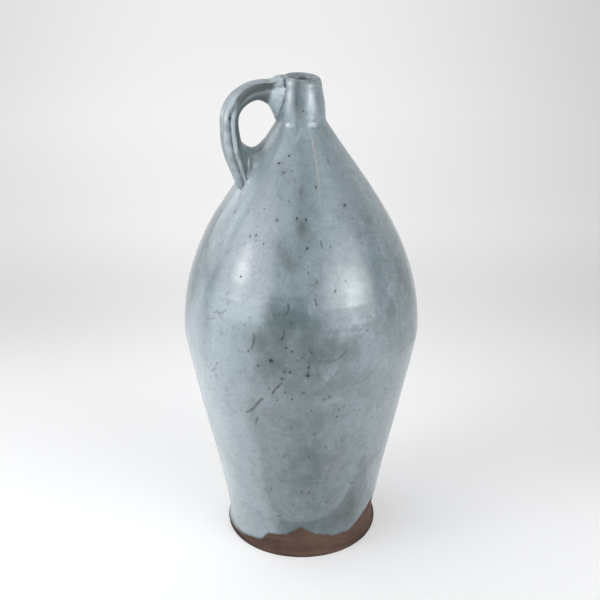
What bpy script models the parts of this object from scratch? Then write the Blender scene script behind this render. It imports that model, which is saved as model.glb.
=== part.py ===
"""A stoneware jug with a bottle neck and a loop handle, thrown in two sections and glazed almost to the foot.

Metres, +Z up. The origin is the centre of the flat base. The handle is on the -X side, and -Y is the front.
Outlines are lists of (distance from the axis, height).
"""

import math

import bmesh
import bpy
from mathutils import Vector
from mathutils.geometry import interpolate_bezier

# Heights of the clay body: the belly as a share of the whole height, the seam as a share of the shoulder's
JUG_HEIGHT = 0.3991
NECK_HEIGHT = 0.0340
BELLY_HEIGHT_SHARE = 0.480
SEAM_HEIGHT_SHARE = 0.337

# The thrown wall
BELLY_RADIUS = 0.0972
WALL = 0.0065
FLOOR = 0.0090
FLOOR_CORNER = 0.0140
SEAM_DEPTH = 0.0020

# The foot: a wire-cut base with a thin lip squeezed out above it
BASE_RADIUS = 0.0651
FOOT_LIP_RADIUS = 0.0656
FOOT_LIP_HEIGHT = 0.0032
FOOT_WAIST_RADIUS = 0.0627
FOOT_WAIST_HEIGHT = 0.0080

# The neck and its lip
NECK_FOOT_RADIUS = 0.0178
NECK_RIM_RADIUS = 0.0149
BORE_RADIUS = 0.0100
LIP_HEIGHT = 0.0062
LIP_INNER_DROP = 0.0030

# The handle's centre line, in the upright plane that it is pulled in
HANDLE_OVERHANG = 0.0022
HANDLE_REACH_DROP = 0.0324
HANDLE_ROOT_DROP = 0.0156
HANDLE_ROOT_PULL = 0.0245
HANDLE_CREST_PULL = 0.0214
HANDLE_SIDE_PULL = 0.0252
HANDLE_FOOT_DROP = 0.0555
HANDLE_FOOT_SINK = 0.0100
HANDLE_FOOT_PULL = 0.0340
HANDLE_ROOT_ANGLE = math.radians(33)
HANDLE_FOOT_ANGLE = math.radians(77)
HANDLE_ROOT_TURN = math.radians(10)
HANDLE_FOOT_TURN = math.radians(25)

# The handle's strap: flat inside, with two ridges and three grooves along its outside
HANDLE_WIDTH = 0.0205
HANDLE_THICKNESS = 0.0112
RIDGE_DEPTH = 0.0014
STRAP_CORNER_POWER = 0.66
RIDGE_WAVES = 2.2

# How the strap swells: share of its length, then of its width and of its outer and inner half thickness
STRAP_SWELL_SHARES = (
    (0.00, 0.80, 2.45, 3.20),
    (0.07, 0.84, 2.42, 2.55),
    (0.14, 0.90, 1.35, 1.70),
    (0.24, 0.96, 1.18, 1.00),
    (0.50, 1.00, 1.00, 0.97),
    (0.64, 0.95, 1.15, 1.10),
    (0.73, 0.90, 1.22, 1.80),
    (0.79, 0.86, 1.22, 2.95),
    (1.00, 0.62, 1.25, 3.00),
)

# The glazes, and the space left between touching pieces
GLAZE = 0.0006
LINER = 0.0005
GAP = 0.0003
LIP_GLAZE_DEPTH = 0.0070

# The outer glaze's wavy lower edge: share of a turn from the front toward +X, then share of the rise
GLAZE_EDGE_LOW = 0.0040
GLAZE_EDGE_RISE = 0.0290
GLAZE_EDGE_STEP = 0.0015
GLAZE_EDGE_SHARES = (
    (0.000, 0.90),
    (0.028, 0.69),
    (0.056, 0.52),
    (0.092, 0.41),
    (0.125, 0.45),
    (0.158, 0.72),
    (0.211, 1.00),
    (0.264, 0.79),
    (0.319, 0.48),
    (0.375, 0.62),
    (0.431, 0.76),
    (0.486, 0.38),
    (0.542, 0.17),
    (0.597, 0.34),
    (0.653, 0.48),
    (0.708, 0.17),
    (0.767, 0.00),
    (0.864, 0.05),
    (0.903, 0.19),
    (0.931, 0.59),
    (0.964, 0.62),
    (1.000, 0.90),
)

# How far the wall's curves reach out of their ends: shares of the width and height between the ends
WALL_START_SHARES = (0.000, 0.167)
WALL_END_SHARE = 0.071
SHOULDER_START_SHARE = 0.416
SHOULDER_END_SHARES = (0.443, 0.321)
NECK_START_SHARE = 0.58
NECK_END_SHARES = (0.22, 0.28)

# Facets
SHARP_ANGLE = math.radians(40)
WELD = 0.000003
SEGMENTS = 40
WALL_STEPS = 7
SHOULDER_STEPS = 8
NECK_STEPS = 3
LIP_STEPS = 3
CORNER_STEPS = 3
STRAP_SIDES = 20
STRAP_STEPS = 10

NECK_FOOT_HEIGHT = JUG_HEIGHT - NECK_HEIGHT
BELLY_HEIGHT = JUG_HEIGHT * BELLY_HEIGHT_SHARE
SEAM_HEIGHT = BELLY_HEIGHT + (NECK_FOOT_HEIGHT - BELLY_HEIGHT) * SEAM_HEIGHT_SHARE


def clear_scene():
    for old in list(bpy.data.objects):
        bpy.data.objects.remove(old, do_unlink=True)


def material(name, colour, roughness, coat=0.0):
    made = bpy.data.materials.new(name)
    made.use_nodes = True
    shader = made.node_tree.nodes["Principled BSDF"]
    shader.inputs["Base Color"].default_value = (*colour, 1.0)
    shader.inputs["Roughness"].default_value = roughness
    shader.inputs["Metallic"].default_value = 0.0
    shader.inputs["Coat Weight"].default_value = coat
    return made


def curve(start, start_pull, end_pull, end, steps):
    """A smooth run of points from start to end, pulled toward the two points between them."""
    return interpolate_bezier(start, start_pull, end_pull, end, steps + 1)


def quarter(start, end, steps):
    """A quarter of an ellipse that leaves start upright and reaches end level, without start itself."""
    points = []
    for step in range(1, steps + 1):
        angle = math.pi / 2 * step / steps
        across = start.x + (end.x - start.x) * (1 - math.cos(angle))
        height = start.y + (end.y - start.y) * math.sin(angle)
        points.append(Vector((across, height)))
    return points


def offset(points, distance):
    """The outline moved to the right of its direction of travel, with its corners kept."""
    normals = []
    for here, there in zip(points, points[1:]):
        along = (there - here).normalized()
        normals.append(Vector((along.y, -along.x)))
    moved = []
    for index, point in enumerate(points):
        before = normals[max(index - 1, 0)]
        after = normals[min(index, len(normals) - 1)]
        moved.append(point + (before + after) * (distance / (1 + before.dot(after))))
    return moved


def point_at(points, height):
    """Where an outline that climbs all the way passes a height. It runs on straight past its ends."""
    for low, high in zip(points, points[1:]):
        if height <= high.y:
            break
    share = (height - low.y) / (high.y - low.y)
    return Vector((low.x + (high.x - low.x) * share, height))


def between(points, bottom, top):
    """The stretch of a climbing outline from one height to another."""
    inner = [point for point in points if bottom < point.y < top]
    return [point_at(points, bottom), *inner, point_at(points, top)]


def wall_outline():
    """The outside of the clay from the base's edge to the foot of the neck."""
    base = Vector((BASE_RADIUS, 0))
    lip = Vector((FOOT_LIP_RADIUS, FOOT_LIP_HEIGHT))
    waist = Vector((FOOT_WAIST_RADIUS, FOOT_WAIST_HEIGHT))
    belly = Vector((BELLY_RADIUS, BELLY_HEIGHT))
    neck = Vector((NECK_FOOT_RADIUS, NECK_FOOT_HEIGHT))
    swell = belly - waist
    fall = neck - belly
    wall_start = waist + swell * Vector(WALL_START_SHARES)
    wall_end = belly - Vector((0, swell.y * WALL_END_SHARE))
    shoulder_start = belly + Vector((0, fall.y * SHOULDER_START_SHARE))
    shoulder_end = neck - fall * Vector(SHOULDER_END_SHARES)
    lower = curve(waist, wall_start, wall_end, belly, WALL_STEPS)
    upper = curve(belly, shoulder_start, shoulder_end, neck, SHOULDER_STEPS)
    return [base, lip, *lower, *upper[1:]]


def neck_outline():
    """The outside of the neck from its foot to the top of the lip."""
    foot = Vector((NECK_FOOT_RADIUS, NECK_FOOT_HEIGHT))
    rim = Vector((NECK_RIM_RADIUS, JUG_HEIGHT - LIP_HEIGHT))
    crest = Vector(((NECK_RIM_RADIUS + BORE_RADIUS) / 2, JUG_HEIGHT))
    rise = rim - foot
    start = foot + Vector((0, rise.y * NECK_START_SHARE))
    end = rim - rise * Vector(NECK_END_SHARES)
    return [*curve(foot, start, end, rim, NECK_STEPS), *quarter(rim, crest, LIP_STEPS)]


def bore_outline(bottom):
    """The inside of the lip from its top down the bore to a height."""
    crest = neck_outline()[-1]
    edge = Vector((BORE_RADIUS, JUG_HEIGHT - LIP_INNER_DROP))
    rounded = quarter(edge, crest, LIP_STEPS)[-2::-1]
    return [*rounded, edge, Vector((BORE_RADIUS, bottom))]


def inside_outline():
    """The inside of the body from the middle of the floor to the foot of the neck."""
    wall = offset(wall_outline(), -WALL)
    wide = [point for point in wall if point.x > BORE_RADIUS]
    corner_top = point_at(wide, FLOOR + FLOOR_CORNER)
    corner_foot = Vector((corner_top.x - FLOOR_CORNER, FLOOR))
    corner = quarter(corner_top, corner_foot, CORNER_STEPS)[::-1]
    throat = Vector((BORE_RADIUS, NECK_FOOT_HEIGHT))
    low, high = wide[-2:]
    share = (BORE_RADIUS - low.x) / (high.x - low.x)
    mouth = low + (high - low) * share
    above = [point for point in wide if corner_top.y < point.y < mouth.y]
    if mouth.y < throat.y:
        above.append(mouth)
    return [Vector((0, FLOOR)), *corner, corner_top, *above, throat]


def new_object(name, mesh_builder, look, helper=False):
    """An object with the mesh that a bmesh holds, shaded smooth between its sharp edges."""
    bmesh.ops.recalc_face_normals(mesh_builder, faces=mesh_builder.faces)
    mesh = bpy.data.meshes.new(name)
    mesh_builder.to_mesh(mesh)
    mesh_builder.free()
    mesh.shade_smooth()
    mesh.set_sharp_from_angle(angle=SHARP_ANGLE)
    made = bpy.data.objects.new(name, mesh)
    bpy.context.scene.collection.objects.link(made)
    if helper:
        made.hide_render = True
        made.display_type = "WIRE"
    else:
        mesh.materials.append(look)
    return made


def turned(name, outline, look, helper=False):
    """A solid of revolution from an outline, closed along the axis or back to its own start."""
    shape = bmesh.new()
    verts = [shape.verts.new((point.x, 0, point.y)) for point in outline]
    for here, there in zip(verts, [*verts[1:], verts[0]]):
        shape.edges.new((here, there))
    bmesh.ops.spin(
        shape,
        geom=[*shape.verts, *shape.edges],
        cent=(0, 0, 0),
        axis=(0, 0, 1),
        angle=math.tau,
        steps=SEGMENTS,
        use_merge=True,
    )
    bmesh.ops.remove_doubles(shape, verts=shape.verts, dist=WELD)
    bmesh.ops.dissolve_degenerate(shape, edges=shape.edges, dist=WELD)
    return new_object(name, shape, look, helper)


def lofted(name, rings, look, ring_of_rings=False, helper=False):
    """A solid through rings of points, capped at both ends or joined round into a hoop."""
    shape = bmesh.new()
    rows = [[shape.verts.new(point) for point in ring] for ring in rings]
    ahead = rows[1:] + rows[:1] if ring_of_rings else rows[1:]
    for row, following in zip(rows, ahead):
        for index in range(len(row)):
            side = index - 1
            shape.faces.new((row[side], row[index], following[index]))
            shape.faces.new((row[side], following[index], following[side]))
    if not ring_of_rings:
        shape.faces.new(rows[0])
        shape.faces.new(rows[-1])
    return new_object(name, shape, look, helper)


def cut(target, cutter, operation="DIFFERENCE"):
    change = target.modifiers.new(cutter.name, "BOOLEAN")
    change.operation = operation
    change.solver = "EXACT"
    change.object = cutter


def inside_between(bottom, top):
    """The inside wall of the body between two heights, or from the floor's edge where bottom is zero."""
    climbing = inside_outline()[1:]
    return between(climbing, max(bottom, climbing[0].y), top)


def build_lower_section(look):
    """Base, floor and wall up to the seam, where a groove waits for the upper section."""
    outside = between(wall_outline(), 0, SEAM_HEIGHT)
    inside = inside_between(0, SEAM_HEIGHT)
    middle = (outside[-1].x + inside[-1].x) / 2
    groove = Vector((middle, SEAM_HEIGHT - SEAM_DEPTH))
    outline = [Vector((0, 0)), *outside, groove, *inside[::-1], Vector((0, FLOOR))]
    return turned("lower_section", outline, look)


def build_shoulder_section(look):
    """The wall from the seam to the foot of the neck, with the ridge that fits the groove."""
    bottom = SEAM_HEIGHT + GAP
    outside = between(wall_outline(), bottom, NECK_FOOT_HEIGHT)
    inside = inside_between(bottom, NECK_FOOT_HEIGHT)
    middle = (outside[0].x + inside[0].x) / 2
    ridge = Vector((middle, bottom - SEAM_DEPTH))
    return turned("shoulder_section", [ridge, *outside, *inside[::-1]], look)


def build_neck_ring(look):
    """The collar from the shoulder to the rounded lip, with the bore through it."""
    bottom = NECK_FOOT_HEIGHT + GAP
    outside = neck_outline()
    foot = point_at(outside, bottom)
    return turned("neck_ring", [foot, *outside[1:], *bore_outline(bottom)], look)


def build_liner_glaze(look):
    """The skin of glaze over the floor, the inside wall and the bore."""
    clay = [*inside_outline(), Vector((BORE_RADIUS, JUG_HEIGHT - LIP_GLAZE_DEPTH - GAP))]
    outer = offset(clay, -GAP)
    inner = offset(clay, -GAP - LINER)
    return turned("liner_glaze", [*outer, *inner[::-1]], look)


def glaze_edge_height(turn):
    """Height of the outer glaze's lower edge at a share of a turn from the front."""
    for low, high in zip(GLAZE_EDGE_SHARES, GLAZE_EDGE_SHARES[1:]):
        if turn <= high[0]:
            break
    along = (turn - low[0]) / (high[0] - low[0])
    eased = (1 - math.cos(math.pi * along)) / 2
    rise = low[1] + (high[1] - low[1]) * eased
    return GLAZE_EDGE_LOW + GLAZE_EDGE_RISE * rise


def glaze_level_height():
    """Height above which the skin's rings are level, clear of the highest wave and the rings close above it."""
    return GLAZE_EDGE_LOW + GLAZE_EDGE_RISE + GLAZE_EDGE_STEP * WALL_STEPS


def glaze_heights(edge):
    """Heights of the skin's rings, from its edge up through the stretch that the waves cross."""
    rings = [point.y for point in wall_outline() if GLAZE_EDGE_LOW < point.y < glaze_level_height()]
    heights = [edge]
    for index, ring in enumerate(rings, 1):
        heights.append(max(ring, edge + GLAZE_EDGE_STEP * index))
    return heights


def pot_outline():
    """The outside of the clay from the base's edge over the lip and down into the bore."""
    return [*wall_outline(), *neck_outline()[1:], *bore_outline(JUG_HEIGHT - LIP_GLAZE_DEPTH)]


def glaze_side(distance, edge):
    """One side of the skin, as far out from the clay as the distance says."""
    moved = offset(pot_outline(), distance)
    climbing = moved[: len(wall_outline())]
    waves = [point_at(climbing, height) for height in glaze_heights(edge)]
    above = [point for point in climbing if point.y > glaze_level_height()]
    return [*waves, *above, *moved[len(climbing) :]]


def build_glaze_skin(look):
    """The skin of glaze round the body, over the lip and into the bore, with its wavy lower edge."""
    rings = []
    for segment in range(SEGMENTS):
        angle = math.tau * segment / SEGMENTS
        turn = (segment / SEGMENTS + 0.25) % 1
        edge = glaze_edge_height(turn)
        section = [*glaze_side(GAP + GLAZE, edge), *glaze_side(GAP, edge)[::-1]]
        ring = [(point.x * math.cos(angle), point.x * math.sin(angle), point.y) for point in section]
        rings.append(ring)
    return lofted("outer_glaze", rings, look, ring_of_rings=True)


def handle_path():
    """The handle's centre line as (distance from the axis, height), from inside the neck to inside the shoulder."""
    root = Vector((BORE_RADIUS + GAP, JUG_HEIGHT - HANDLE_ROOT_DROP))
    seat = point_at(wall_outline(), NECK_FOOT_HEIGHT - HANDLE_FOOT_DROP)
    foot = seat - Vector((HANDLE_FOOT_SINK, 0))
    crest = Vector((seat.x + HANDLE_OVERHANG, JUG_HEIGHT - HANDLE_REACH_DROP))
    rising = Vector((math.cos(HANDLE_ROOT_ANGLE), math.sin(HANDLE_ROOT_ANGLE)))
    falling = Vector((math.cos(HANDLE_FOOT_ANGLE), math.sin(HANDLE_FOOT_ANGLE)))
    arch = curve(
        root,
        root + rising * HANDLE_ROOT_PULL,
        crest + Vector((0, HANDLE_CREST_PULL)),
        crest,
        STRAP_STEPS,
    )
    drop = curve(
        crest,
        crest - Vector((0, HANDLE_SIDE_PULL)),
        foot + falling * HANDLE_FOOT_PULL,
        foot,
        STRAP_STEPS,
    )
    return [*arch, *drop[1:]]


def strap_swell(along):
    """The strap's shares of its width and of its outer and inner thickness at a share of its length."""
    for low, high in zip(STRAP_SWELL_SHARES, STRAP_SWELL_SHARES[1:]):
        if along <= high[0]:
            break
    part = (along - low[0]) / (high[0] - low[0])
    return [start + (end - start) * part for start, end in zip(low[1:], high[1:])]


def strap_section(width, outer, inner, grow):
    """The strap's cross-section as (across, outward): a soft rectangle with ridges along its outer face."""
    points = []
    for side in range(STRAP_SIDES):
        angle = math.tau * side / STRAP_SIDES
        across = math.copysign(abs(math.cos(angle)) ** STRAP_CORNER_POWER, math.cos(angle))
        out = math.copysign(abs(math.sin(angle)) ** STRAP_CORNER_POWER, math.sin(angle))
        half = inner / 2
        ridge = 0.0
        if out > 0:
            half = outer / 2
            ridge = -RIDGE_DEPTH * out * (1 + math.cos(math.tau * across * RIDGE_WAVES / 2)) / 2
        points.append(Vector((across * (width / 2 + grow), out * (half + grow) + ridge)))
    return points


def strap_rings(grow):
    """Rings of points round the handle's strap, as much larger all round as grow says."""
    path = handle_path()
    lengths = [0.0]
    for here, there in zip(path, path[1:]):
        lengths.append(lengths[-1] + (there - here).length)
    rings = []
    for index, point in enumerate(path):
        along = (path[min(index + 1, len(path) - 1)] - path[max(index - 1, 0)]).normalized()
        outward = Vector((-along.y, along.x))
        share = lengths[index] / lengths[-1]
        width_share, outer_share, inner_share = strap_swell(share)
        width = HANDLE_WIDTH * width_share
        outer = HANDLE_THICKNESS * outer_share
        inner = HANDLE_THICKNESS * inner_share
        turn = HANDLE_ROOT_TURN + (HANDLE_FOOT_TURN - HANDLE_ROOT_TURN) * share
        away = Vector((-math.cos(turn), -math.sin(turn), 0))
        across = Vector((math.sin(turn), -math.cos(turn), 0))
        up = Vector((0, 0, 1))
        ring = []
        for corner in strap_section(width, outer, inner, grow):
            place = point + outward * corner.y
            ring.append(away * place.x + across * corner.x + up * place.y)
        rings.append(ring)
    return rings


def envelope(name, distance):
    """A solid pot as much larger than the clay as the distance says, for trimming the handle's ends."""
    moved = offset([*wall_outline(), *neck_outline()[1:]], distance)
    top = Vector((0, moved[-1].y))
    return turned(name, [Vector((0, moved[0].y)), *moved, top], None, helper=True)


def build_handle(look):
    """The pulled strap, cut to sit on the neck and the shoulder."""
    handle = lofted("handle", strap_rings(0.0), look)
    cut(handle, envelope("handle_seat", GAP))
    return handle


def build_outer_glaze(look):
    """The skin over the body and lip, joined to the skin over the handle."""
    skin = build_glaze_skin(look)
    jacket = lofted("handle_jacket", strap_rings(GAP + GLAZE), None, helper=True)
    cut(jacket, envelope("jacket_seat", GAP + GLAZE / 2))
    cut(skin, jacket, "UNION")
    cut(skin, lofted("handle_space", strap_rings(GAP), None, helper=True))
    return skin


def main():
    clear_scene()
    bare_clay = (0.098, 0.061, 0.045)
    build_lower_section(material("lower_clay", bare_clay, 0.85))
    build_shoulder_section(material("shoulder_clay", bare_clay, 0.85))
    build_neck_ring(material("neck_clay", bare_clay, 0.85))
    build_handle(material("handle_clay", bare_clay, 0.85))
    build_outer_glaze(material("blue_grey_glaze", (0.304, 0.376, 0.402), 0.22, coat=0.6))
    build_liner_glaze(material("liner_glaze", (0.27, 0.33, 0.34), 0.30, coat=0.4))


main()
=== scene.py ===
"""A stoneware jug with a bottle neck and a pulled handle, glazed blue-grey above a bare clay foot.

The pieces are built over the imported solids, in metres, +Z up. The handle is toward -X and the front is -Y.
Outlines are rows of (distance from the axis, height). Turns are measured from the front toward +X.
"""

import math

import bmesh
import bpy
import numpy as np
from bpy.props import FloatProperty, FloatVectorProperty, PointerProperty
from bpy.types import Operator, Panel, PropertyGroup
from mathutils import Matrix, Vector
from mathutils.kdtree import KDTree


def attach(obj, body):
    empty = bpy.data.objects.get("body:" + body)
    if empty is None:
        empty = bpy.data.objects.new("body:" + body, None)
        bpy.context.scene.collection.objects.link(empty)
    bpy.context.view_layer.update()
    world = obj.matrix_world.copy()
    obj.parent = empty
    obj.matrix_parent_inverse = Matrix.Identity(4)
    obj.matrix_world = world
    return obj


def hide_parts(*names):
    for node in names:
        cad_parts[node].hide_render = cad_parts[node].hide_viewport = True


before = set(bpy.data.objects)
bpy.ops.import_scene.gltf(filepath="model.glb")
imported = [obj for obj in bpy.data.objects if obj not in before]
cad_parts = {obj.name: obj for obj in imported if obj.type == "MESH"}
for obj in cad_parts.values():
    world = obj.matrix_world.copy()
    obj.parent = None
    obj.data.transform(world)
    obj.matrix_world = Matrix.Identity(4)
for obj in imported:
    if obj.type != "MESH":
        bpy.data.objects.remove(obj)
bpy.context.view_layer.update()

bl_info = {
    "name": "Stoneware Jug",
    "version": (1, 0, 0),
    "blender": (4, 5, 0),
    "location": "View3D > Sidebar > Jug",
    "description": "A wheel-thrown jug with a running glaze, and a small studio to show it in",
    "category": "Add Mesh",
}

BODY = "root"
MM = 0.001
SPECK_SEED = 11
TONE_SEED = 7
DOME_HEIGHT = 0.00012  # Of the chosen iron spots
SPECK_TOP = 0.392  # The scattered specks stay below this height
DENT_SEED = 5
FAR_AWAY = 9.0  # Farther than any two places on the jug
PIECE_GAP = 0.0003  # Between two pieces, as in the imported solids
BARE_TOP = 0.05  # Below this height the clay may show, so its outline is finer
WALL_STEP = 0.004  # From point to point along the rest of the clay's outline
CLAY_CREASE = 60  # Edges of the clay that turn by more degrees stay sharp
NECK_FILLET = 0.0022  # How far the neck's foot is softened to both sides
GLAZE_IN_BORE = 0.004  # How far the outer glaze runs down the bore below the rounded rim
LINER_TOP = 0.0072  # From the rim down to where the inside's outline ends
WAVY_TOP = 0.046  # The glaze's rows follow its wavy edge up to this height, and lie level above it
EDGE_ROWS, RIM_ROWS = 22, 22
ROW_STRETCHES = ((0.140, 0.0030), (0.252, 0.00108), (0.362, 0.0023), (0.3905, 0.0016))  # Top, and step between rows
COLUMN_STRETCHES = ((-75, -36, 30), (-36, 20, 127), (20, 62, 51), (62, 285, 113))  # From, to, and how many
BLACK, WHITE = (0, 0, 0, 1), (1, 1, 1, 1)
SHORTEST_BORDER = 0.01  # Of a soft panel
SENSOR_WIDTH, FOCAL_LENGTH = 36, 65.66
CAMERA_PLACE, CAMERA_DIP = (-0.00084, -0.8352, 0.5780), 23.66


# Tables of the glaze's own marks. Each place is (turn in degrees, height in mm).

GLAZE_LINE = (
    (-180, 17), (-160, 12), (-140, 8), (-118, 5.6), (-96, 4.6), (-78, 4.4), (-62, 4.7), (-52, 5.6), (-45, 6.8),
    (-40, 8.2), (-35.5, 8.8), (-31.5, 11.0), (-28.5, 15.6), (-25.0, 19.8), (-20, 20.4), (-14, 20.8), (-9, 24.5),
    (-4, 28.6), (-1, 30.4), (2.5, 28.2), (8, 24.4), (14, 21.0), (20, 19.0), (27, 17.0), (34, 16.2), (41, 17.2),
    (47, 20.2), (53, 25.0), (60, 28.6), (67, 31.6), (74, 33.0), (84, 31.5), (95, 25.0), (110, 19.0), (128, 22.0),
    (146, 28.0), (163, 25.5), (180, 17),
)

POUR_EDGE = (
    (4, -27), (16, -25), (22, -20), (28, -16.5), (43, -17.5), (55, -22), (68, -25), (84, -24), (102, -23.5),
    (112, -25), (131, -28), (150, -28), (163, -26.5), (180, -23), (195, -19.5), (215, -20), (234, -18.5),
    (248, -18), (262, -20), (290, -28), (340, -40), (400, -42),
)

SECOND_DIP = (
    (-180, 66), (-150, 58), (-120, 50), (-80, 45), (-40, 44), (-25, 42.5), (-12, 38.5), (0, 37.5), (10, 39),
    (21, 44), (27, 51.5), (31, 63), (35, 74), (37.5, 88), (39.5, 99), (42.5, 94), (48, 72), (56, 52), (66, 42),
    (85, 38), (105, 50), (140, 64), (180, 66),
)

GOUGES = (
    (0.70, 1.0, ((-6.1, 246.7), (-5.6, 243.9), (-6.7, 240.6), (-8.2, 238.7))),
    (0.30, 0.9, ((-13.2, 239.6), (-11.0, 239.0), (-9.6, 240.0))),
    (0.55, 0.9, ((-7.6, 227.9), (-7.8, 224.6), (-8.9, 221.0))),
    (0.60, 1.1, ((-21.9, 222.7), (-21.5, 218.2), (-22.4, 212.4), (-24.8, 207.2))),
    (0.15, 0.9, ((-30.8, 208.9), (-27.8, 206.6), (-24.9, 206.4))),
    (0.70, 0.8, ((-1.9, 204.6), (-0.1, 205.4), (1.7, 208.8))),
    (0.60, 1.0, ((-13.4, 173.6), (-12.3, 177.8), (-10.3, 181.0), (-9.1, 184.1))),
    (0.40, 1.4, ((-28.8, 149.8), (-26.3, 152.3), (-23.7, 156.4), (-21.2, 162.4), (-18.8, 167.2))),
    (0.35, 1.2, ((-24.5, 139.9), (-22.5, 146.8))),
    (0.35, 1.0, ((-46.0, 229.8), (-43.9, 231.9), (-41.4, 230.4), (-39.7, 232.6), (-38.1, 235.6))),
    (0.30, 1.0, ((-49.5, 223.0), (-46.0, 225.3))),
    (0.30, 1.1, ((-42.7, 189.9), (-44.0, 184.4), (-46.5, 179.9))),
    (0.55, 0.9, ((6.3, 250.3), (7.3, 245.9))),
    (0.40, 0.6, ((12.1, 289.1), (12.9, 285.0))),
    (0.30, 0.7, ((13.5, 187.9), (15.7, 191.0), (17.8, 194.5))),
    (0.25, 1.2, ((7.5, 203.6), (11.6, 202.6), (15.2, 203.2), (18.5, 205.8), (20.9, 209.5))),
    (0.20, 0.9, ((23.0, 225.5), (26.9, 223.0), (30.2, 223.4))),
    (0.20, 0.7, ((24.1, 178.9), (29.4, 179.5), (32.8, 182.0))),
    (0.20, 0.7, ((7.5, 190.8), (11.3, 184.7))),
    (0.45, 1.0, ((118.0, 214.0), (121.0, 216.5), (125.0, 216.0))),
    (0.50, 1.0, ((171.0, 190.0), (172.0, 196.0), (175.5, 200.0))),
    (0.35, 1.2, ((-128.0, 171.0), (-124.0, 166.5), (-119.0, 165.0))),
    (0.45, 0.9, ((-152.0, 243.0), (-150.5, 236.0))),
    (0.30, 1.2, ((84.0, 150.0), (88.0, 146.0), (94.0, 145.0))),
)

IRON_SPOTS = (
    (-33.3, 261.5, 0.85), (17.4, 254.8, 0.75), (-13.5, 203.3, 1.75), (3.1, 192.0, 1.45), (-8.6, 188.4, 1.05),
    (-6.6, 214.6, 0.80), (36.3, 309.8, 0.95), (14.0, 324.3, 0.75), (-10.0, 315.2, 0.50), (-3.0, 304.4, 0.75),
    (3.5, 303.6, 0.80), (-17.3, 302.4, 0.75), (-30.0, 290.7, 0.80), (-34.1, 289.2, 0.65), (-23.5, 286.2, 0.60),
    (3.6, 284.8, 0.80), (-55.9, 300.6, 0.60), (8.2, 261.9, 0.60), (3.7, 268.3, 0.55), (-4.7, 233.8, 0.60),
    (-4.1, 211.7, 0.80), (4.8, 211.1, 0.75), (-19.6, 197.7, 0.75), (-7.4, 194.7, 0.75), (-4.9, 194.5, 0.85),
    (-7.2, 176.0, 0.75), (0.9, 175.4, 0.80), (-4.3, 169.1, 0.75), (13.6, 170.6, 0.80), (11.3, 168.2, 0.75),
    (46.9, 162.3, 0.65), (31.9, 222.2, 0.60), (57.8, 255.5, 0.60), (65.0, 270.8, 0.50), (27.3, 152.9, 0.50),
    (18.2, 149.3, 0.70), (41.0, 138.3, 0.60), (-5.1, 140.8, 0.65), (6.8, 134.4, 0.75), (22.8, 123.9, 0.80),
    (13.8, 118.6, 0.75), (4.5, 110.2, 0.60), (-42.9, 97.5, 0.55), (0.4, 71.8, 0.80), (4.7, 71.1, 0.80),
    (35.0, 72.0, 0.75), (36.4, 60.8, 0.60), (34.5, 49.0, 0.55), (21.4, 47.7, 0.65), (-15.8, 42.5, 0.70),
    (-19.7, 71.9, 0.60), (-16.8, 344.5, 0.80), (-28.4, 338.9, 0.90), (35.5, 340.3, 0.60), (-19.8, 333.2, 0.55),
    (-6.7, 329.0, 0.45), (4.5, 376.4, 0.50), (62.0, 384.5, 0.50), (-11.4, 167.2, 0.60), (-24.6, 234.2, 0.45),
    (-15.0, 178.0, 0.50), (-36.2, 283.9, 0.40), (-42.8, 304.5, 0.45), (39.0, 300.3, 0.45), (17.9, 284.9, 0.55),
    (18.9, 156.2, 0.60), (-9.7, 109.5, 0.60), (7.3, 85.9, 0.60), (9.9, 82.1, 0.60), (-5.4, 58.0, 0.70),
    (17.1, 58.1, 0.65), (14.6, 64.4, 0.55), (36.6, 91.4, 0.45), (3.9, 213.0, 0.60), (3.4, 198.5, 0.80),
    (3.6, 203.0, 0.55), (-27.0, 228.0, 0.40),
)

DARK_RUN = ((3.6, 200.0), (3.5, 197.0), (3.1, 190.5))
TAIL_CRACK = ((-63.5, 317.5), (-60.5, 313.5), (-59.0, 309.0))
PALE_RUN = ((18.4, 364.8), (19.5, 359.4), (19.3, 348.7), (18.7, 338.9), (17.8, 329.1), (16.2, 319.4), (15.1, 311.0))

# Soft patches of the glaze: turn, height, half width in degrees, half height in mm, strength

# Some pale patches are painted light, not thick glaze: the strong ones on the shoulder and neck beside the handle
# offset the handle's shadow and stand in for the left softbox's highlight on the neck, and those on the neck's right
# and the thin band just below the neck's foot partly stand in for highlights
PALE_PATCHES = (
    (-14, 303, 12, 18, 0.30), (-6, 252, 20, 12, 0.22), (2, 292, 12, 24, 0.18), (-47, 296, 8, 34, 0.55),
    (-64, 326, 15, 22, 1.00), (-33, 345, 20, 14, 0.55), (20, 300, 9, 26, 0.35), (-57, 346, 13, 16, 1.00),
    (-36, 382, 15, 22, 1.00), (27, 372, 8, 9, 0.80), (19, 380, 8, 24, 0.60), (-10, 361, 34, 3.2, 0.70),
    (-86, 342, 20, 22, 0.95), (-74, 391, 12, 5, 1.00), (-75, 305, 12, 14, 0.60), (-62, 150, 16, 60, 0.35),
    (-60, 70, 14, 26, 0.35), (40, 150, 12, 40, 0.20), (-22, 318, 10, 14, 0.25), (24, 340, 10, 14, 0.25),
    (-30, 380, 14, 14, 0.35), (26, 380, 8, 12, 0.25), (120, 280, 22, 40, 0.4), (165, 150, 20, 50, 0.35),
    (-140, 230, 18, 60, 0.4), (95, 120, 16, 40, 0.3), (-110, 330, 20, 20, 0.3),
)

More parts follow.
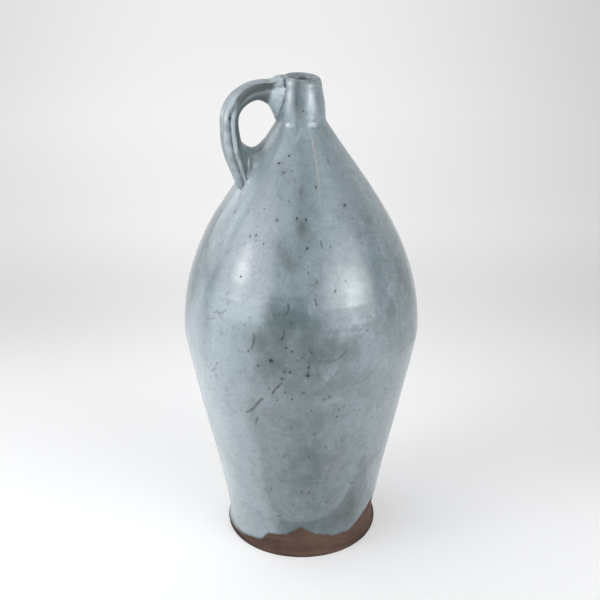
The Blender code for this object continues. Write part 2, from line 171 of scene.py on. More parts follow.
DEEP_PATCHES = (
    (-6, 196, 16, 11, 0.95), (52, 222, 16, 34, 0.70), (45, 172, 14, 26, 0.40), (-25, 195, 12, 20, 0.35),
    (22, 190, 14, 18, 0.45), (17, 214, 10, 17, 0.75), (6, 180, 16, 12, 0.75), (5, 204, 14, 12, 0.95),
    (-82, 240, 10, 16, 0.60), (-2, 222, 14, 34, 1.00), (-3, 190, 15, 26, 0.75), (-4, 160, 10, 20, 0.35),
    (5, 108, 12, 50, 0.90), (-19, 212, 7, 15, 0.80), (70, 225, 10, 60, 0.55), (-74, 238, 10, 38, 0.75),
    (8, 60, 12, 22, 0.45), (1, 298, 6, 12, 0.40), (3, 322, 9, 13, 0.25), (50, 292, 9, 24, 0.55),
    (46, 262, 9, 18, 0.50), (66, 246, 12, 30, 0.85), (43, 224, 8, 13, 0.35), (-53, 232, 4.5, 42, 0.50),
    (-12, 386, 9, 17, 0.90), (52, 378, 12, 18, 0.45), (28, 180, 14, 18, 0.15), (12, 268, 7, 12, 0.15),
    (-9, 262, 8, 14, 0.20), (135, 180, 18, 50, 0.5), (-165, 290, 16, 40, 0.5), (88, 230, 12, 60, 0.4),
    (-118, 120, 16, 50, 0.4),
)

MAUVE_PATCHES = (
    (-30, 286, 13, 28, 0.85), (-17, 262, 8, 18, 0.45), (-18, 170, 15, 26, 0.80), (17, 98, 12, 16, 0.50),
    (30, 205, 18, 22, 0.35), (-8, 335, 12, 20, 0.45), (12, 130, 10, 16, 0.40), (-40, 215, 10, 16, 0.30),
    (150, 240, 24, 40, 0.7), (-150, 130, 20, 40, 0.7), (100, 300, 18, 30, 0.6),
)

# The broad rows darken the lower front and the glaze round the foot; the small ones are smudges of iron
STAINS = (
    (10, 80, 55, 62, 0.42), (8, 36, 26, 14, 0.62), (36, 40, 20, 26, 0.88), (-20, 45, 16, 22, 0.45),
    (44, 130, 18, 40, 0.24), (-6, 150, 34, 26, 0.38), (24, 172, 14, 20, 0.34), (-10, 211, 13, 13, 0.34),
    (14, 205, 13, 11, 0.40), (-0.8, 299, 3.4, 6.5, 0.70), (-7.5, 281, 5.0, 5.5, 0.55), (1.5, 327, 3.0, 5.0, 0.50),
    (3.9, 205, 2.2, 10, 0.55), (-13.5, 203.5, 2.6, 3.2, 0.55), (-5.5, 195.0, 3.0, 2.6, 0.40),
    (-9.5, 187.0, 3.5, 3.5, 0.30), (-3.0, 305.0, 2.4, 2.4, 0.45), (-8.0, 214.0, 4.0, 3.0, 0.25),
    (3.4, 192.5, 2.2, 3.4, 0.55), (8, 263, 3, 6, 0.30), (-16, 304, 3.0, 3.0, 0.25), (-24, 336, 3.0, 4.0, 0.25),
    (17, 284, 3, 3, 0.2), (0, 376, 5, 14, 0.35), (-4, 397, 10, 3.0, 0.45), (20, 398, 7, 2.0, 0.45),
    (-62, 396, 8, 2.5, 0.35),
)

SCARRED_PATCHES = ((-4, 190, 13, 15, 1.0),)

# The handle's cross-section as shares of its half width and half thickness: front edge at +1, outside at +1

STRAP_SHARES = (
    (-1.00, 0.00), (-0.985, 0.38), (-0.90, 0.78), (-0.72, 1.00), (-0.50, 0.93), (-0.25, 0.80), (0.00, 0.86),
    (0.24, 0.97), (0.46, 0.94), (0.62, 0.74), (0.72, 0.44), (0.775, 0.20), (0.84, 0.20), (0.94, 0.16),
    (1.00, -0.04), (0.985, -0.26), (0.90, -0.46), (0.76, -0.66), (0.60, -0.83), (0.40, -0.95), (0.16, -1.00),
    (-0.12, -0.98), (-0.45, -1.00), (-0.72, -0.97), (-0.91, -0.72), (-0.99, -0.36),
)


def length(name, default, description):
    return FloatProperty(name=name, default=default, description=description, subtype="DISTANCE", unit="LENGTH")


def share(name, default, description):
    return FloatProperty(name=name, default=default, description=description, min=0, max=1, subtype="FACTOR")


def angle(name, degrees, description):
    turn = math.radians(degrees)
    return FloatProperty(name=name, default=turn, description=description, subtype="ANGLE", unit="ROTATION")


def power(name, default, description):
    return FloatProperty(name=name, default=default, description=description, min=0)


def colour(name, default, description):
    return FloatVectorProperty(name=name, default=default, description=description, size=3, min=0, subtype="COLOR")


class JugSizes(PropertyGroup):
    height: length("Height", 0.3991, "Height of the clay, without its glaze")
    neck_height: length("Neck height", 0.0340, "From the neck's foot to its rim")
    belly_share: share("Belly height", 0.480, "The belly's height as a share of the whole")
    seam_share: share("Seam height", 0.337, "The joint's height as a share of the shoulder")
    belly_radius: length("Belly radius", 0.0972, "The clay's widest radius")
    base_radius: length("Base radius", 0.0651, "Radius of the wire-cut base")
    lip_radius: length("Foot lip radius", 0.0656, "Radius of the thin lip above the base")
    lip_height: length("Foot lip height", 0.0032, "Height of the thin lip above the base")
    waist_radius: length("Foot waist radius", 0.0627, "Radius of the hollow above the foot's lip")
    waist_height: length("Foot waist height", 0.0080, "Height of the hollow above the foot's lip")
    neck_radius: length("Neck radius", 0.0180, "Radius of the neck at its foot")
    rim_radius: length("Rim radius", 0.0151, "Radius of the neck just under its rim")
    bore_radius: length("Bore radius", 0.0100, "Radius of the pouring bore in the clay")
    rim_height: length("Rim height", 0.0062, "Height of the rim's rounded outside")
    rim_drop: length("Rim drop", 0.0030, "Height of the rim's rounded inside")
    rim_slope: length("Rim slope", 0.0017, "How much lower the rim is on the side away from the handle")
    wall: length("Wall", 0.0065, "Thickness of the thrown wall")
    floor: length("Floor", 0.0090, "Thickness of the floor")
    floor_corner: length("Floor corner", 0.0140, "Radius of the curve from the floor to the wall")
    seam_depth: length("Seam depth", 0.0020, "Depth of the joint's groove")
    ring_depth: length("Throwing rings", 0.00006, "Height of the rings that fingers leave in the wall")
    dent_depth: length("Dents", 0.00035, "Depth of the soft dents in the wall")


class HandleSizes(PropertyGroup):
    overhang: length("Overhang", 0.0022, "How far the handle's line reaches past its seat on the shoulder")
    reach_drop: length("Reach drop", 0.0324, "From the rim down to the handle's widest point")
    root_drop: length("Root drop", 0.0156, "From the rim down to the handle's root")
    root_pull: length("Root pull", 0.0245, "How far the line runs straight out of the root")
    crest_pull: length("Crest pull", 0.0214, "How far the line runs upright above its widest point")
    side_pull: length("Side pull", 0.0252, "How far the line runs upright below its widest point")
    foot_drop: length("Foot drop", 0.0555, "From the neck's foot down to the handle's foot")
    foot_sink: length("Foot sink", 0.0100, "How far the line ends inside the shoulder")
    foot_pull: length("Foot pull", 0.0340, "How far the line runs straight into the foot")
    root_angle: angle("Root angle", 33, "Climb of the handle where it leaves the neck")
    foot_angle: angle("Foot angle", 77, "Slope of the handle where it meets the shoulder")
    root_turn: angle("Root turn", 10, "Turn of the root toward the front")
    foot_turn: angle("Foot turn", 25, "Turn of the foot toward the front")
    width: length("Width", 0.0205, "Width of the strap in clay")
    thickness: length("Thickness", 0.0112, "Thickness of the strap in clay")


class GlazeFinish(PropertyGroup):
    thickness: length("Thickness", 0.0009, "From the clay to the glaze's surface")
    liner: length("Liner", 0.0008, "Thickness of the glaze inside")
    blue_grey: colour("Blue-grey", (0.192, 0.242, 0.261), "The glaze at its usual thickness")
    mauve: colour("Mauve", (0.262, 0.292, 0.323), "Patches where the glaze cooled to a warmer grey")
    # Pale also paints highlights on and near the handle, and the deep and iron-smudge colours paint shade on its shaded
    # side
    pale: colour("Pale", (0.385, 0.462, 0.490), "Where the glaze lies thick")
    deep: colour("Deep", (0.092, 0.127, 0.135), "Where the glaze lies thin over dark clay")
    rust: colour("Rust", (0.128, 0.118, 0.108), "Where the glaze breaks over an edge")
    stain_and_shade: colour("Stain", (0.067, 0.081, 0.081), "Smudges where iron bled into the glaze")
    crack: colour("Crack", (0.016, 0.021, 0.023), "The bottom of gouges, cracks and seams")
    run: colour("Pale run", (0.47, 0.43, 0.37), "The thin warm run below the neck")
    roughness: share("Roughness", 0.42, "Roughness of the glaze under its gloss")
    gloss: share("Gloss", 0.85, "Weight of the clear gloss on top")


class ClayFinish(PropertyGroup):
    dark: colour("Dark clay", (0.068, 0.037, 0.026), "Fired clay in hollows and at the cut edge")
    light: colour("Light clay", (0.120, 0.071, 0.051), "Fired clay where fingers smoothed it")
    grit: colour("Grit", (0.25, 0.20, 0.16), "Grains in the clay")
    roughness: share("Roughness", 0.78, "Roughness of the bare clay")


class Stage(PropertyGroup):
    left_power: power("Left softbox", 13.0, "Brightness of the large softbox")
    back_power: power("Back left", 1.8, "Brightness of the softbox behind it")
    right_power: power("Right softbox", 11.5, "Brightness of the small softbox")
    low_power: power("Right low", 2.4, "Brightness of the panel under it")
    skirt_power: power("Right wall", 1.7, "Brightness of the lit wall at the right")
    top_power: power("Top light", 1.85, "Brightness of the light overhead")
    floor_size: length("Floor size", 14.0, "Width of the pale floor")
    floor_tone: colour("Floor tone", (0.955, 0.955, 0.955), "The pale floor near the jug")
    backdrop: colour("Backdrop", (0.955, 0.950, 0.950), "The pale backdrop behind the jug")
    # Painted shade: the backdrop's far left and right are darker copies of its pale tone
    backdrop_left_shade: colour("Backdrop left", (0.730, 0.720, 0.715), "The pale backdrop far to the left")
    backdrop_right_shade: colour("Backdrop right", (0.580, 0.560, 0.555), "The pale backdrop far to the right")
    room_front: colour("Room front", (0.06, 0.06, 0.07), "The room around the camera")
    room_back: colour("Room back", (0.60, 0.60, 0.60), "The room behind the jug")


# Outlines


def bezier(start, start_pull, end_pull, end, count):
    """Points of a smooth run from start to end, pulled toward the two points between them."""
    t = np.linspace(0, 1, count)[:, None]
    a, b, c, d = (np.asarray(p, float) for p in (start, start_pull, end_pull, end))
    return (1 - t) ** 3 * a + 3 * (1 - t) ** 2 * t * b + 3 * (1 - t) * t * t * c + t**3 * d


def quarter(start, end, count):
    """A quarter of an ellipse that leaves start upright and reaches end level."""
    turn = np.linspace(0, math.pi / 2, count)
    (x0, z0), (x1, z1) = start, end
    return np.column_stack((x0 + (x1 - x0) * (1 - np.cos(turn)), z0 + (z1 - z0) * np.sin(turn)))


def joined(*runs):
    """Runs of points one after another, without the points that repeat."""
    line = np.vstack(runs)
    keep = np.r_[True, np.hypot(*np.diff(line, axis=0).T) > 1e-7]
    return line[keep]


def run_lengths(line):
    """Each point's distance along the outline."""
    return np.r_[0, np.cumsum(np.hypot(*np.diff(line, axis=0).T))]


def normals_of(line):
    """Unit normals of an outline, to the right of its travel."""
    step = np.gradient(line, run_lengths(line), axis=0)
    step /= np.linalg.norm(step, axis=1)[:, None]
    return np.column_stack((step[:, 1], -step[:, 0]))


def resampled(line, places):
    """The outline's points at distances along it."""
    lengths = run_lengths(line)
    return np.column_stack([np.interp(places, lengths, line[:, i]) for i in (0, 1)])


def heights(jug):
    """Heights of the belly, the joint and the foot of the neck."""
    neck_foot = jug.height - jug.neck_height
    belly = jug.height * jug.belly_share
    return belly, belly + (neck_foot - belly) * jug.seam_share, neck_foot


def wall_line(jug):
    """The outside of the clay from the base's edge to the foot of the neck."""
    belly_height, _, neck_foot = heights(jug)
    base = np.array((jug.base_radius, 0))
    lip = np.array((jug.lip_radius, jug.lip_height))
    waist = np.array((jug.waist_radius, jug.waist_height))
    belly = np.array((jug.belly_radius, belly_height))
    neck = np.array((jug.neck_radius, neck_foot))
    swell, fall = belly - waist, neck - belly
    foot = bezier(base, base + (0.0004, 0.0006), lip - (0, 0.0014), lip, 8)
    hollow = bezier(lip, lip + (-0.0002, 0.0016), waist - (0, 0.0022), waist, 12)
    lower = bezier(waist, waist + swell * (0, 0.167), belly - (0, swell[1] * 0.071), belly, 220)
    upper = bezier(belly, belly + (0, fall[1] * 0.416), neck - fall * (0.443, 0.321), neck, 260)
    return joined(foot, hollow, lower, upper)


def neck_line(jug):
    """The outside of the neck from its foot over the rim, and down into the bore as far as the outer glaze goes."""
    foot = np.array((jug.neck_radius, jug.height - jug.neck_height))
    rim = np.array((jug.rim_radius, jug.height - jug.rim_height))
    crest = np.array(((jug.rim_radius + jug.bore_radius) / 2, jug.height))
    inner = np.array((jug.bore_radius, jug.height - jug.rim_drop))
    rise = rim - foot
    side = bezier(foot, foot + rise * (0, 0.58), rim - rise * (0.22, 0.28), rim, 60)
    return joined(side, quarter(rim, crest, 16), quarter(inner, crest, 12)[::-1], [inner - (0, GLAZE_IN_BORE)])


def rounded_corner(line, height, reach):
    """The outline with its corner at a height softened over a reach on both sides."""
    lengths = run_lengths(line)
    middle = lengths[np.argmin(np.abs(line[:, 1] - height))]
    before, after = lengths < middle - reach, lengths > middle + reach
    start, end = line[before][-1], line[after][0]
    corner = resampled(line, [middle])[0]
    return joined(line[before], bezier(start, corner, corner, end, 14), line[after])


def pot_line(jug):
    """The outside of the clay, with a small fillet where the neck stands on the shoulder."""
    whole = joined(wall_line(jug), neck_line(jug))
    return rounded_corner(whole, jug.height - jug.neck_height, NECK_FILLET)


def inside_line(jug):
    """The inside of the clay from the middle of the floor up through the bore."""
    wall = wall_line(jug)
    inner = wall - normals_of(wall) * jug.wall
    corner_top = jug.floor + jug.floor_corner
    radius = np.interp(corner_top, inner[:, 1], inner[:, 0])
    corner = quarter((radius, corner_top), (radius - jug.floor_corner, jug.floor), 16)[::-1]
    throat = jug.height - jug.neck_height
    climb = inner[(inner[:, 1] > corner_top) & (inner[:, 0] > jug.bore_radius)]
    floor = [(0.0, jug.floor), (radius - jug.floor_corner, jug.floor)]
    return joined(floor, corner, climb, [(jug.bore_radius, throat), (jug.bore_radius, jug.height - LINER_TOP)])


# Surface relief


def between(table, at):
    """A smooth value from a table of (place, value) rows, with level tangents at the turns."""
    places, values = np.array(table, float).T
    low = np.clip(np.searchsorted(places, at, side="right") - 1, 0, len(places) - 2)
    gap = places[low + 1] - places[low]
    part = np.clip((at - places[low]) / gap, 0, 1)
    step = np.diff(values) / np.diff(places)
    before, after = np.r_[step[:1], step], np.r_[step, step[-1:]]
    tangent = np.where(before * after > 0, 2 * before * after / np.where(before + after == 0, 1, before + after), 0)
    h00, h10 = 2 * part**3 - 3 * part**2 + 1, part**3 - 2 * part**2 + part
    h01, h11 = 3 * part**2 - 2 * part**3, part**3 - part**2
    return h00 * values[low] + h10 * gap * tangent[low] + h01 * values[low + 1] + h11 * gap * tangent[low + 1]


def smooth(low, high, at):
    """A soft step from 0 at the low place to 1 at the high one."""
    t = np.clip((at - low) / (high - low), 0, 1)
    return t * t * (3 - 2 * t)


def bump(at, centre, width):
    """A soft hill, 1 at its centre."""
    return np.exp(-(((at - centre) / width) ** 2))


def wrapped(turn):
    """The turn as at most half a round to either side of the front."""
    return (turn + math.pi) % math.tau - math.pi


def dents(turn, height, seed, waves=26, finest=9.0):
    """A soft, even unevenness between -1 and 1, seamless round the pot."""
    draw = np.random.default_rng(seed)
    total = np.zeros(np.broadcast(turn, height).shape)
    weight = 0.0
    for _ in range(waves):
        around = draw.integers(0, 8)
        rise = draw.uniform(1.5, finest) / 0.12
        size = 1 / (1 + around * 0.6 + rise * 0.03)
        total += size * np.sin(around * turn + rise * height * draw.choice((-1, 1)) + draw.uniform(0, math.tau))
        weight += size * size
    return total / math.sqrt(weight) / 1.4


def ripple(turn, height, seed, around, rise, waves=18):
    """A fine unevenness between -1 and 1: up to so many waves round the pot and so many per metre of height."""
    draw = np.random.default_rng(seed)
    total = np.zeros(np.broadcast(turn, height).shape)
    for _ in range(waves):
        across = int(draw.integers(-around, around + 1))
        up = draw.uniform(-rise, rise) * math.tau
        total += np.sin(across * turn + up * height + draw.uniform(0, math.tau))
    return total / math.sqrt(waves) / 1.2


def body_relief(jug, turn, height):
    """How far the thrown wall stands out of its outline: rings, dents and the seam, never past the widest radius."""
    belly, seam, neck_foot = heights(jug)
    calm = smooth(0.0, 0.03, height) * (1 - 0.75 * smooth(neck_foot - 0.02, neck_foot + 0.004, height))
    # Broad and fine rings, here deeper and there shallower
    rings = np.sin(height * math.tau / 0.0135 + 1.3 * np.sin(turn) + 2.0 * np.sin(height * 31))
    rings += 0.6 * np.sin(height * math.tau / 0.0071 + 0.8 * np.sin(2 * turn + 1))
    fade = 0.35 + 0.65 * (0.5 + 0.5 * np.sin(height * 37 + turn))
    relief = jug.ring_depth * rings * fade * calm
    relief = relief + jug.dent_depth * dents(turn, height, DENT_SEED) * calm
    # The joint shows most at the front
    joint = 0.25 + 0.75 * bump(wrapped(turn), -0.2, 0.4)
    relief -= 0.00003 * bump(height, seam, 0.0022) * joint
    # The belly stands back, so that its rings and dents stay inside the widest radius
    relief -= 0.00055 * bump(height, belly, 0.045)
    # The shoulder is pressed in under the handle's foot
    press = bump(wrapped(turn + math.tau / 4 + 0.14), 0, 0.50)
    relief -= 0.0011 * press * bump(height, neck_foot - 0.058, 0.016)
    return relief


def sway(height):
    """The pot's lean off its axis, as (x, y)."""
    x = np.interp(height, (0, 0.06, 0.19, 0.30, 0.38), (0.4, 0.25, -0.15, 0.0, 0.30)) * MM
    y = np.interp(height, (0, 0.10, 0.25, 0.38), (0.0, 0.15, -0.10, 0.10)) * MM
    return x, y


def placed(jug, turn, radius, height):
    """A place from its turn, radius and height, leaning and with the sloping rim."""
    x = radius * np.sin(turn)
    y = -radius * np.cos(turn)
    lean_x, lean_y = sway(height)
    top = smooth(jug.height - 0.020, jug.height, height)
    slope = jug.rim_slope * top * (0.5 + 0.5 * x / jug.rim_radius)
    return np.stack((x + lean_x, y + lean_y, height - slope), axis=-1)


def stroke_depth(turn, height, radius, points, width, wobble=0.0):
    """How much of a stroke of a width covers each place, from 0 to 1."""
    best = np.full(turn.shape, FAR_AWAY)
    line = np.array(points, float)
    line = np.column_stack((np.radians(line[:, 0]), line[:, 1] * MM))
    for (turn_a, high_a), (turn_b, high_b) in zip(line, line[1:]):
        px, pz = wrapped(turn - turn_a) * radius, height - high_a
        dx, dz = (turn_b - turn_a) * radius, high_b - high_a
        part = np.clip((px * dx + pz * dz) / (dx * dx + dz * dz + 1e-12), 0, 1)
        best = np.minimum(best, np.hypot(px - part * dx, pz - part * dz))
    return bump(np.maximum(best + wobble, 0), 0, width)


def patches(table, turn, height):
    """How much of the soft patches of a table covers each place, with cloudy edges."""
    drift = 0.07 * ripple(turn, height, 31, 14, 22)
    lift = 0.006 * ripple(turn, height, 32, 14, 22)
    total = np.zeros(turn.shape)
    for patch_turn, patch_height, wide, high, strength in table:
        away = wrapped(turn - math.radians(patch_turn)) + drift
        off = (height - patch_height * MM + lift) / (high * MM)
        total = np.maximum(total, strength * np.exp(-((away / math.radians(wide)) ** 2) - off**2))
    return total


# Meshes


def added(name, data):
    """A new object of the data, in the scene."""
    made = bpy.data.objects.new(name, data)
    bpy.context.scene.collection.objects.link(made)
    return made


def new_piece(name, points, faces, look, values=None):
    """An object at the origin with a mesh of its own, shaded smooth, with named values on its points."""
    mesh = bpy.data.meshes.new(name)
    mesh.vertices.add(len(points))
    mesh.vertices.foreach_set("co", np.asarray(points, np.float32).ravel())
    corners = np.concatenate([np.asarray(f, np.int32).ravel() for f in faces])
    sizes = np.concatenate([np.full(len(f), np.asarray(f).shape[1], np.int32) for f in faces])
    mesh.loops.add(len(corners))
    mesh.loops.foreach_set("vertex_index", corners)
    mesh.polygons.add(len(sizes))
    mesh.polygons.foreach_set("loop_start", np.r_[0, np.cumsum(sizes)[:-1]].astype(np.int32))
    mesh.update(calc_edges=True)
    mesh.validate()
    mesh.shade_smooth()
    for key, numbers in (values or {}).items():
        layer = mesh.attributes.new(key, "FLOAT", "POINT")
        layer.data.foreach_set("value", np.asarray(numbers, np.float32).ravel())
    mesh.materials.append(look)
    return added(name, mesh)


def hoop_faces(rows, columns, closed):
    """Faces of a grid of rows that runs round in columns, and joins its last row to its first where closed."""
    r = np.arange(rows if closed else rows - 1)[:, None]
    c = np.arange(columns)[None, :]
    up, beside = (r + 1) % rows, (c + 1) % columns
    corners = (r * columns + c, r * columns + beside, up * columns + beside, up * columns + c)
    return np.stack(np.broadcast_arrays(*corners), -1).reshape(-1, 4)


def merged(made):
    """The object with its doubled points welded and its faces turned outward."""
    shape = bmesh.new()
    shape.from_mesh(made.data)
    bmesh.ops.remove_doubles(shape, verts=shape.verts, dist=1e-6)
    bmesh.ops.dissolve_degenerate(shape, edges=shape.edges, dist=1e-7)
    bmesh.ops.recalc_face_normals(shape, faces=shape.faces)
    shape.to_mesh(made.data)
    shape.free()
    made.data.shade_smooth()
    return made


def sharpened(made, degrees):
    made.data.set_sharp_from_angle(angle=math.radians(degrees))
    return made


def turned_shell(name, jug, line, columns, look, relief=None):
    """A closed ring of an outline turned round the axis, with an optional relief along its normals."""
    turn = (np.arange(columns) * math.tau / columns)[None]
    normal = normals_of(np.vstack((line, line[:1])))[:-1]
    out = 0.0 if relief is None else relief(turn, line[:, 1:], line)
    radius = np.maximum(line[:, :1] + normal[:, :1] * out, 0)
    height = line[:, 1:] + normal[:, 1:] * out
    points = placed(jug, *np.broadcast_arrays(turn, radius, height))
    return merged(new_piece(name, points.reshape(-1, 3), [hoop_faces(len(line), columns, True)], look))


def ride(made, slot, *nodes):
    """The finished piece rides on the jug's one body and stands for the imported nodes."""
    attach(made, BODY)
    if nodes:
        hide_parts(*nodes)
    return made


# Shader maths


class Number:
    """A socket of numbers in a shader, with the arithmetic that the materials use."""

    def __init__(self, board, socket):
        self.board = board
        self.socket = socket

    def __add__(self, other):
        return self.board.maths("ADD", self, other)

    def __sub__(self, other):
        return self.board.maths("SUBTRACT", self, other)

    def __rsub__(self, other):
        return self.board.maths("SUBTRACT", other, self)

    def __mul__(self, other):
        return self.board.maths("MULTIPLY", self, other)

    def __truediv__(self, other):
        return self.board.maths("DIVIDE", self, other)

    def __rtruediv__(self, other):
        return self.board.maths("DIVIDE", other, self)

    def __pow__(self, other):
        return self.board.maths("POWER", self, other)

    __radd__ = __add__
    __rmul__ = __mul__


class Board:
    """The nodes of one material, world or modifier."""

    def __init__(self, tree):
        self.tree = tree
        tree.nodes.clear()

    def node(self, kind, settings=None, values=None):
        """A node of a kind: its settings first, then the values and links of its sockets."""
        made = self.tree.nodes.new(kind)
        for key, value in (settings or {}).items():
            setattr(made, key, value)
        for key, value in (values or {}).items():
            socket = made.inputs[key] if isinstance(key, int) else self.socket(made.inputs, key)
            value = value.socket if isinstance(value, Number) else value
            if isinstance(value, bpy.types.NodeSocket):
                self.tree.links.new(value, socket)
            else:
                socket.default_value = value
        return made

    @staticmethod
    def socket(sockets, key):
        """The socket whose identifier is the key, or else whose name is."""
        return next((socket for socket in sockets if socket.identifier == key), None) or sockets[key]

    def maths(self, operation, *values):
        made = self.node("ShaderNodeMath", {"operation": operation}, dict(enumerate(values)))
        return Number(self, made.outputs[0])

    def smooth(self, value, low, high, start=0.0, end=1.0):
        """A soft step of a value from start to end between low and high."""
        made = self.node(
            "ShaderNodeMapRange",
            {"interpolation_type": "SMOOTHSTEP"},
            {"Value": value, "From Min": low, "From Max": high, "To Min": start, "To Max": end},
        )
        return Number(self, made.outputs[0])

    def mix(self, factor, first, second):
        values = {"Factor_Float": factor, "A_Color": first, "B_Color": second}
        return self.node("ShaderNodeMix", {"data_type": "RGBA", "clamp_factor": True}, values).outputs[2]

    def noise(self, coords, scale, detail=2.0, roughness=0.5, distortion=0.0):
        values = {"Vector": coords, "Scale": scale, "Detail": detail, "Roughness": roughness, "Distortion": distortion}
        return Number(self, self.node("ShaderNodeTexNoise", {}, values).outputs["Fac"])

    def cells(self, coords, scale):
        """The distance to the nearest of scattered points, and a random number for each point."""
        made = self.node("ShaderNodeTexVoronoi", {}, {"Vector": coords, "Scale": scale})
        picked = self.node("ShaderNodeSeparateColor", {}, {0: made.outputs["Color"]})
        return Number(self, made.outputs["Distance"]), Number(self, picked.outputs[0])

    def mapped(self, coords, upright=1.0, move=(0, 0, 0)):
        """The coordinates moved, and drawn out or squeezed upright."""
        values = {"Vector": coords, "Scale": (1, 1, upright), "Location": move}
        return self.node("ShaderNodeMapping", {}, values).outputs[0]

    def attribute(self, name):
        made = self.node("ShaderNodeAttribute", {"attribute_name": name})
        return Number(self, made.outputs["Fac"])

    def place(self):
        """Each point's place on its own object."""
        return self.node("ShaderNodeTexCoord").outputs["Object"]

    def parts(self, vector):
        """The x, y and z of a vector."""
        apart = self.node("ShaderNodeSeparateXYZ", {}, {0: vector})
        return [Number(self, out) for out in apart.outputs]

    def bump(self, height, distance, strength, normal=None):
        values = {"Height": height, "Distance": distance, "Strength": strength}
        if normal is not None:
            values["Normal"] = normal
        return self.node("ShaderNodeBump", {}, values).outputs[0]

    def surface(self, base, roughness, **more):
        """A surface of a colour, a roughness and other settings, with underscores for the spaces in their names."""
        values = {"Base Color": base, "Roughness": roughness}
        values |= {key.replace("_", " "): value for key, value in more.items()}
        return self.node("ShaderNodeBsdfPrincipled", {}, values).outputs[0]

    def glow(self, tone, strength=1.0):
        return self.node("ShaderNodeEmission", {}, {"Color": tone, "Strength": strength}).outputs[0]

    def finish(self, shader):
        """The shader as what the material or the world shows."""
        of_world = isinstance(self.tree.id_data, bpy.types.World)
        self.node("ShaderNodeOutputWorld" if of_world else "ShaderNodeOutputMaterial", {}, {"Surface": shader})


def solid(values):
    """A colour that hides what is behind it."""
    return (*values, 1.0)


def darker(values, part):
    return solid([value * part for value in values])


def new_material(name):
    made = bpy.data.materials.new(name)
    made.use_nodes = True
    return made, Board(made.node_tree)


def glaze_material(name, finish, lively=True):
    """A satin stoneware glaze: drifting blue-grey, mauve and pale patches, faint iron, and thin brown edges.

    A lively one also reads the tones and marks on its piece's points, some of them painted shade and painted
    highlights.
    """
    made, board = new_material(name)
    place = board.place()
    pale, deep, mauve = solid(finish.pale), solid(finish.deep), solid(finish.mauve)
    drift = board.noise(board.mapped(place, 0.35), 22, 3, 0.55, 0.6)
    clouds = board.noise(board.mapped(place, 0.6, (0.31, 0.12, 0.07)), 55, 4, 0.65, 0.5)
    mottle = board.noise(place, 150, 4, 0.65, 0.3)
    freckle = board.noise(board.mapped(place, move=(0.7, 0.2, 0.4)), 520, 2, 0.6)
    grain = board.noise(place, 1100, 2, 0.6)
    base = board.mix(board.smooth(drift, 0.40, 0.68, 0, 0.35), solid(finish.blue_grey), mauve)
    pale_room = 1.0
    if lively:
        dark = board.attribute("bare") * 0.75 + board.attribute("stain_and_shade")
        pale_room = 1 - board.maths("MINIMUM", dark, 0.8)
        patch = board.smooth(clouds * 0.7 + mottle * 0.3, 0.30, 0.62, 0.55, 1.25)
        # The cover and bare tones also carry painted highlights and painted shade on and near the handle
        for key, tone in (("mauve", mauve), ("cover", pale), ("bare", deep)):
            base = board.mix(board.attribute(key) * patch, base, tone)
    for grade, deep_step, pale_step in (
        (clouds, (0.50, 0.74, 0, 0.32), (0.48, 0.28, 0, 0.22)),
        (mottle, (0.50, 0.74, 0, 0.34), (0.48, 0.26, 0, 0.26)),
        (freckle, (0.54, 0.76, 0, 0.42), (0.44, 0.26, 0, 0.22)),
    ):
        base = board.mix(board.smooth(grade, *deep_step), base, deep)
        base = board.mix(board.smooth(grade, *pale_step) * pale_room, base, pale)
    soft_far, soft_pick = board.cells(place, 150)
    faint = (1 - board.smooth(soft_far, 0.05, 0.30)) * board.smooth(soft_pick, 0.72, 0.97, 0, 0.60)
    small_far, small_pick = board.cells(board.mapped(place, move=(0.5, 0.2, 0.9)), 360)
    fine = (1 - board.smooth(small_far, 0.10, 0.30)) * board.smooth(small_pick, 0.88, 0.98, 0, 0.45)
    if lively:
        open_glaze = 1 - board.maths("MINIMUM", board.attribute("cover") * 1.3, 1.0)
        faint, fine = faint * (0.25 + 0.75 * open_glaze), fine * open_glaze
    base = board.mix(faint, base, deep)
    base = board.mix(fine, base, solid(finish.crack))
    rough, gloss = finish.roughness + mottle * 0.10, finish.gloss
    if lively:
        thin = board.attribute("thin")
        # Iron smudges, and painted shade on the handle's shaded side
        stain_and_shade = board.attribute("stain_and_shade") * board.smooth(clouds * 0.4 + mottle * 0.6, 0.30, 0.62, 0.6, 1.1)
        base = board.mix(stain_and_shade, base, solid(finish.stain_and_shade))
        broken = board.smooth(mottle * 0.6 + grain * 0.4, 0.35, 0.65, 0.55, 1.0)
        base = board.mix(thin * broken, base, solid(finish.rust))
        base = board.mix(board.attribute("mark"), base, solid(finish.crack))
        base = board.mix(board.attribute("warm") * board.smooth(grain, 0.2, 0.6, 0.5, 1), base, solid(finish.run))
        rough = rough + thin * 0.2
        # Less gloss on iron smudges, and on the handle's side painted in shade, so that it reflects less
        gloss = finish.gloss * (1 - 0.75 * board.attribute("stain_and_shade"))
    peel = board.noise(place, 210, 2, 0.5)
    normal = board.bump(peel, 0.00030, 0.5)
    normal = board.bump(freckle, 0.00010, 0.5, normal)
    pits = (1 - board.smooth(small_far, 0.0, 0.22)) * board.smooth(small_pick, 0.80, 0.85)
    normal = board.bump(1 - pits, 0.00012, 0.6, normal)
    board.finish(
        board.surface(base, rough, Coat_Weight=gloss, Coat_Roughness=0.13, Coat_IOR=1.5, IOR=1.45, Normal=normal)
    )
    return made


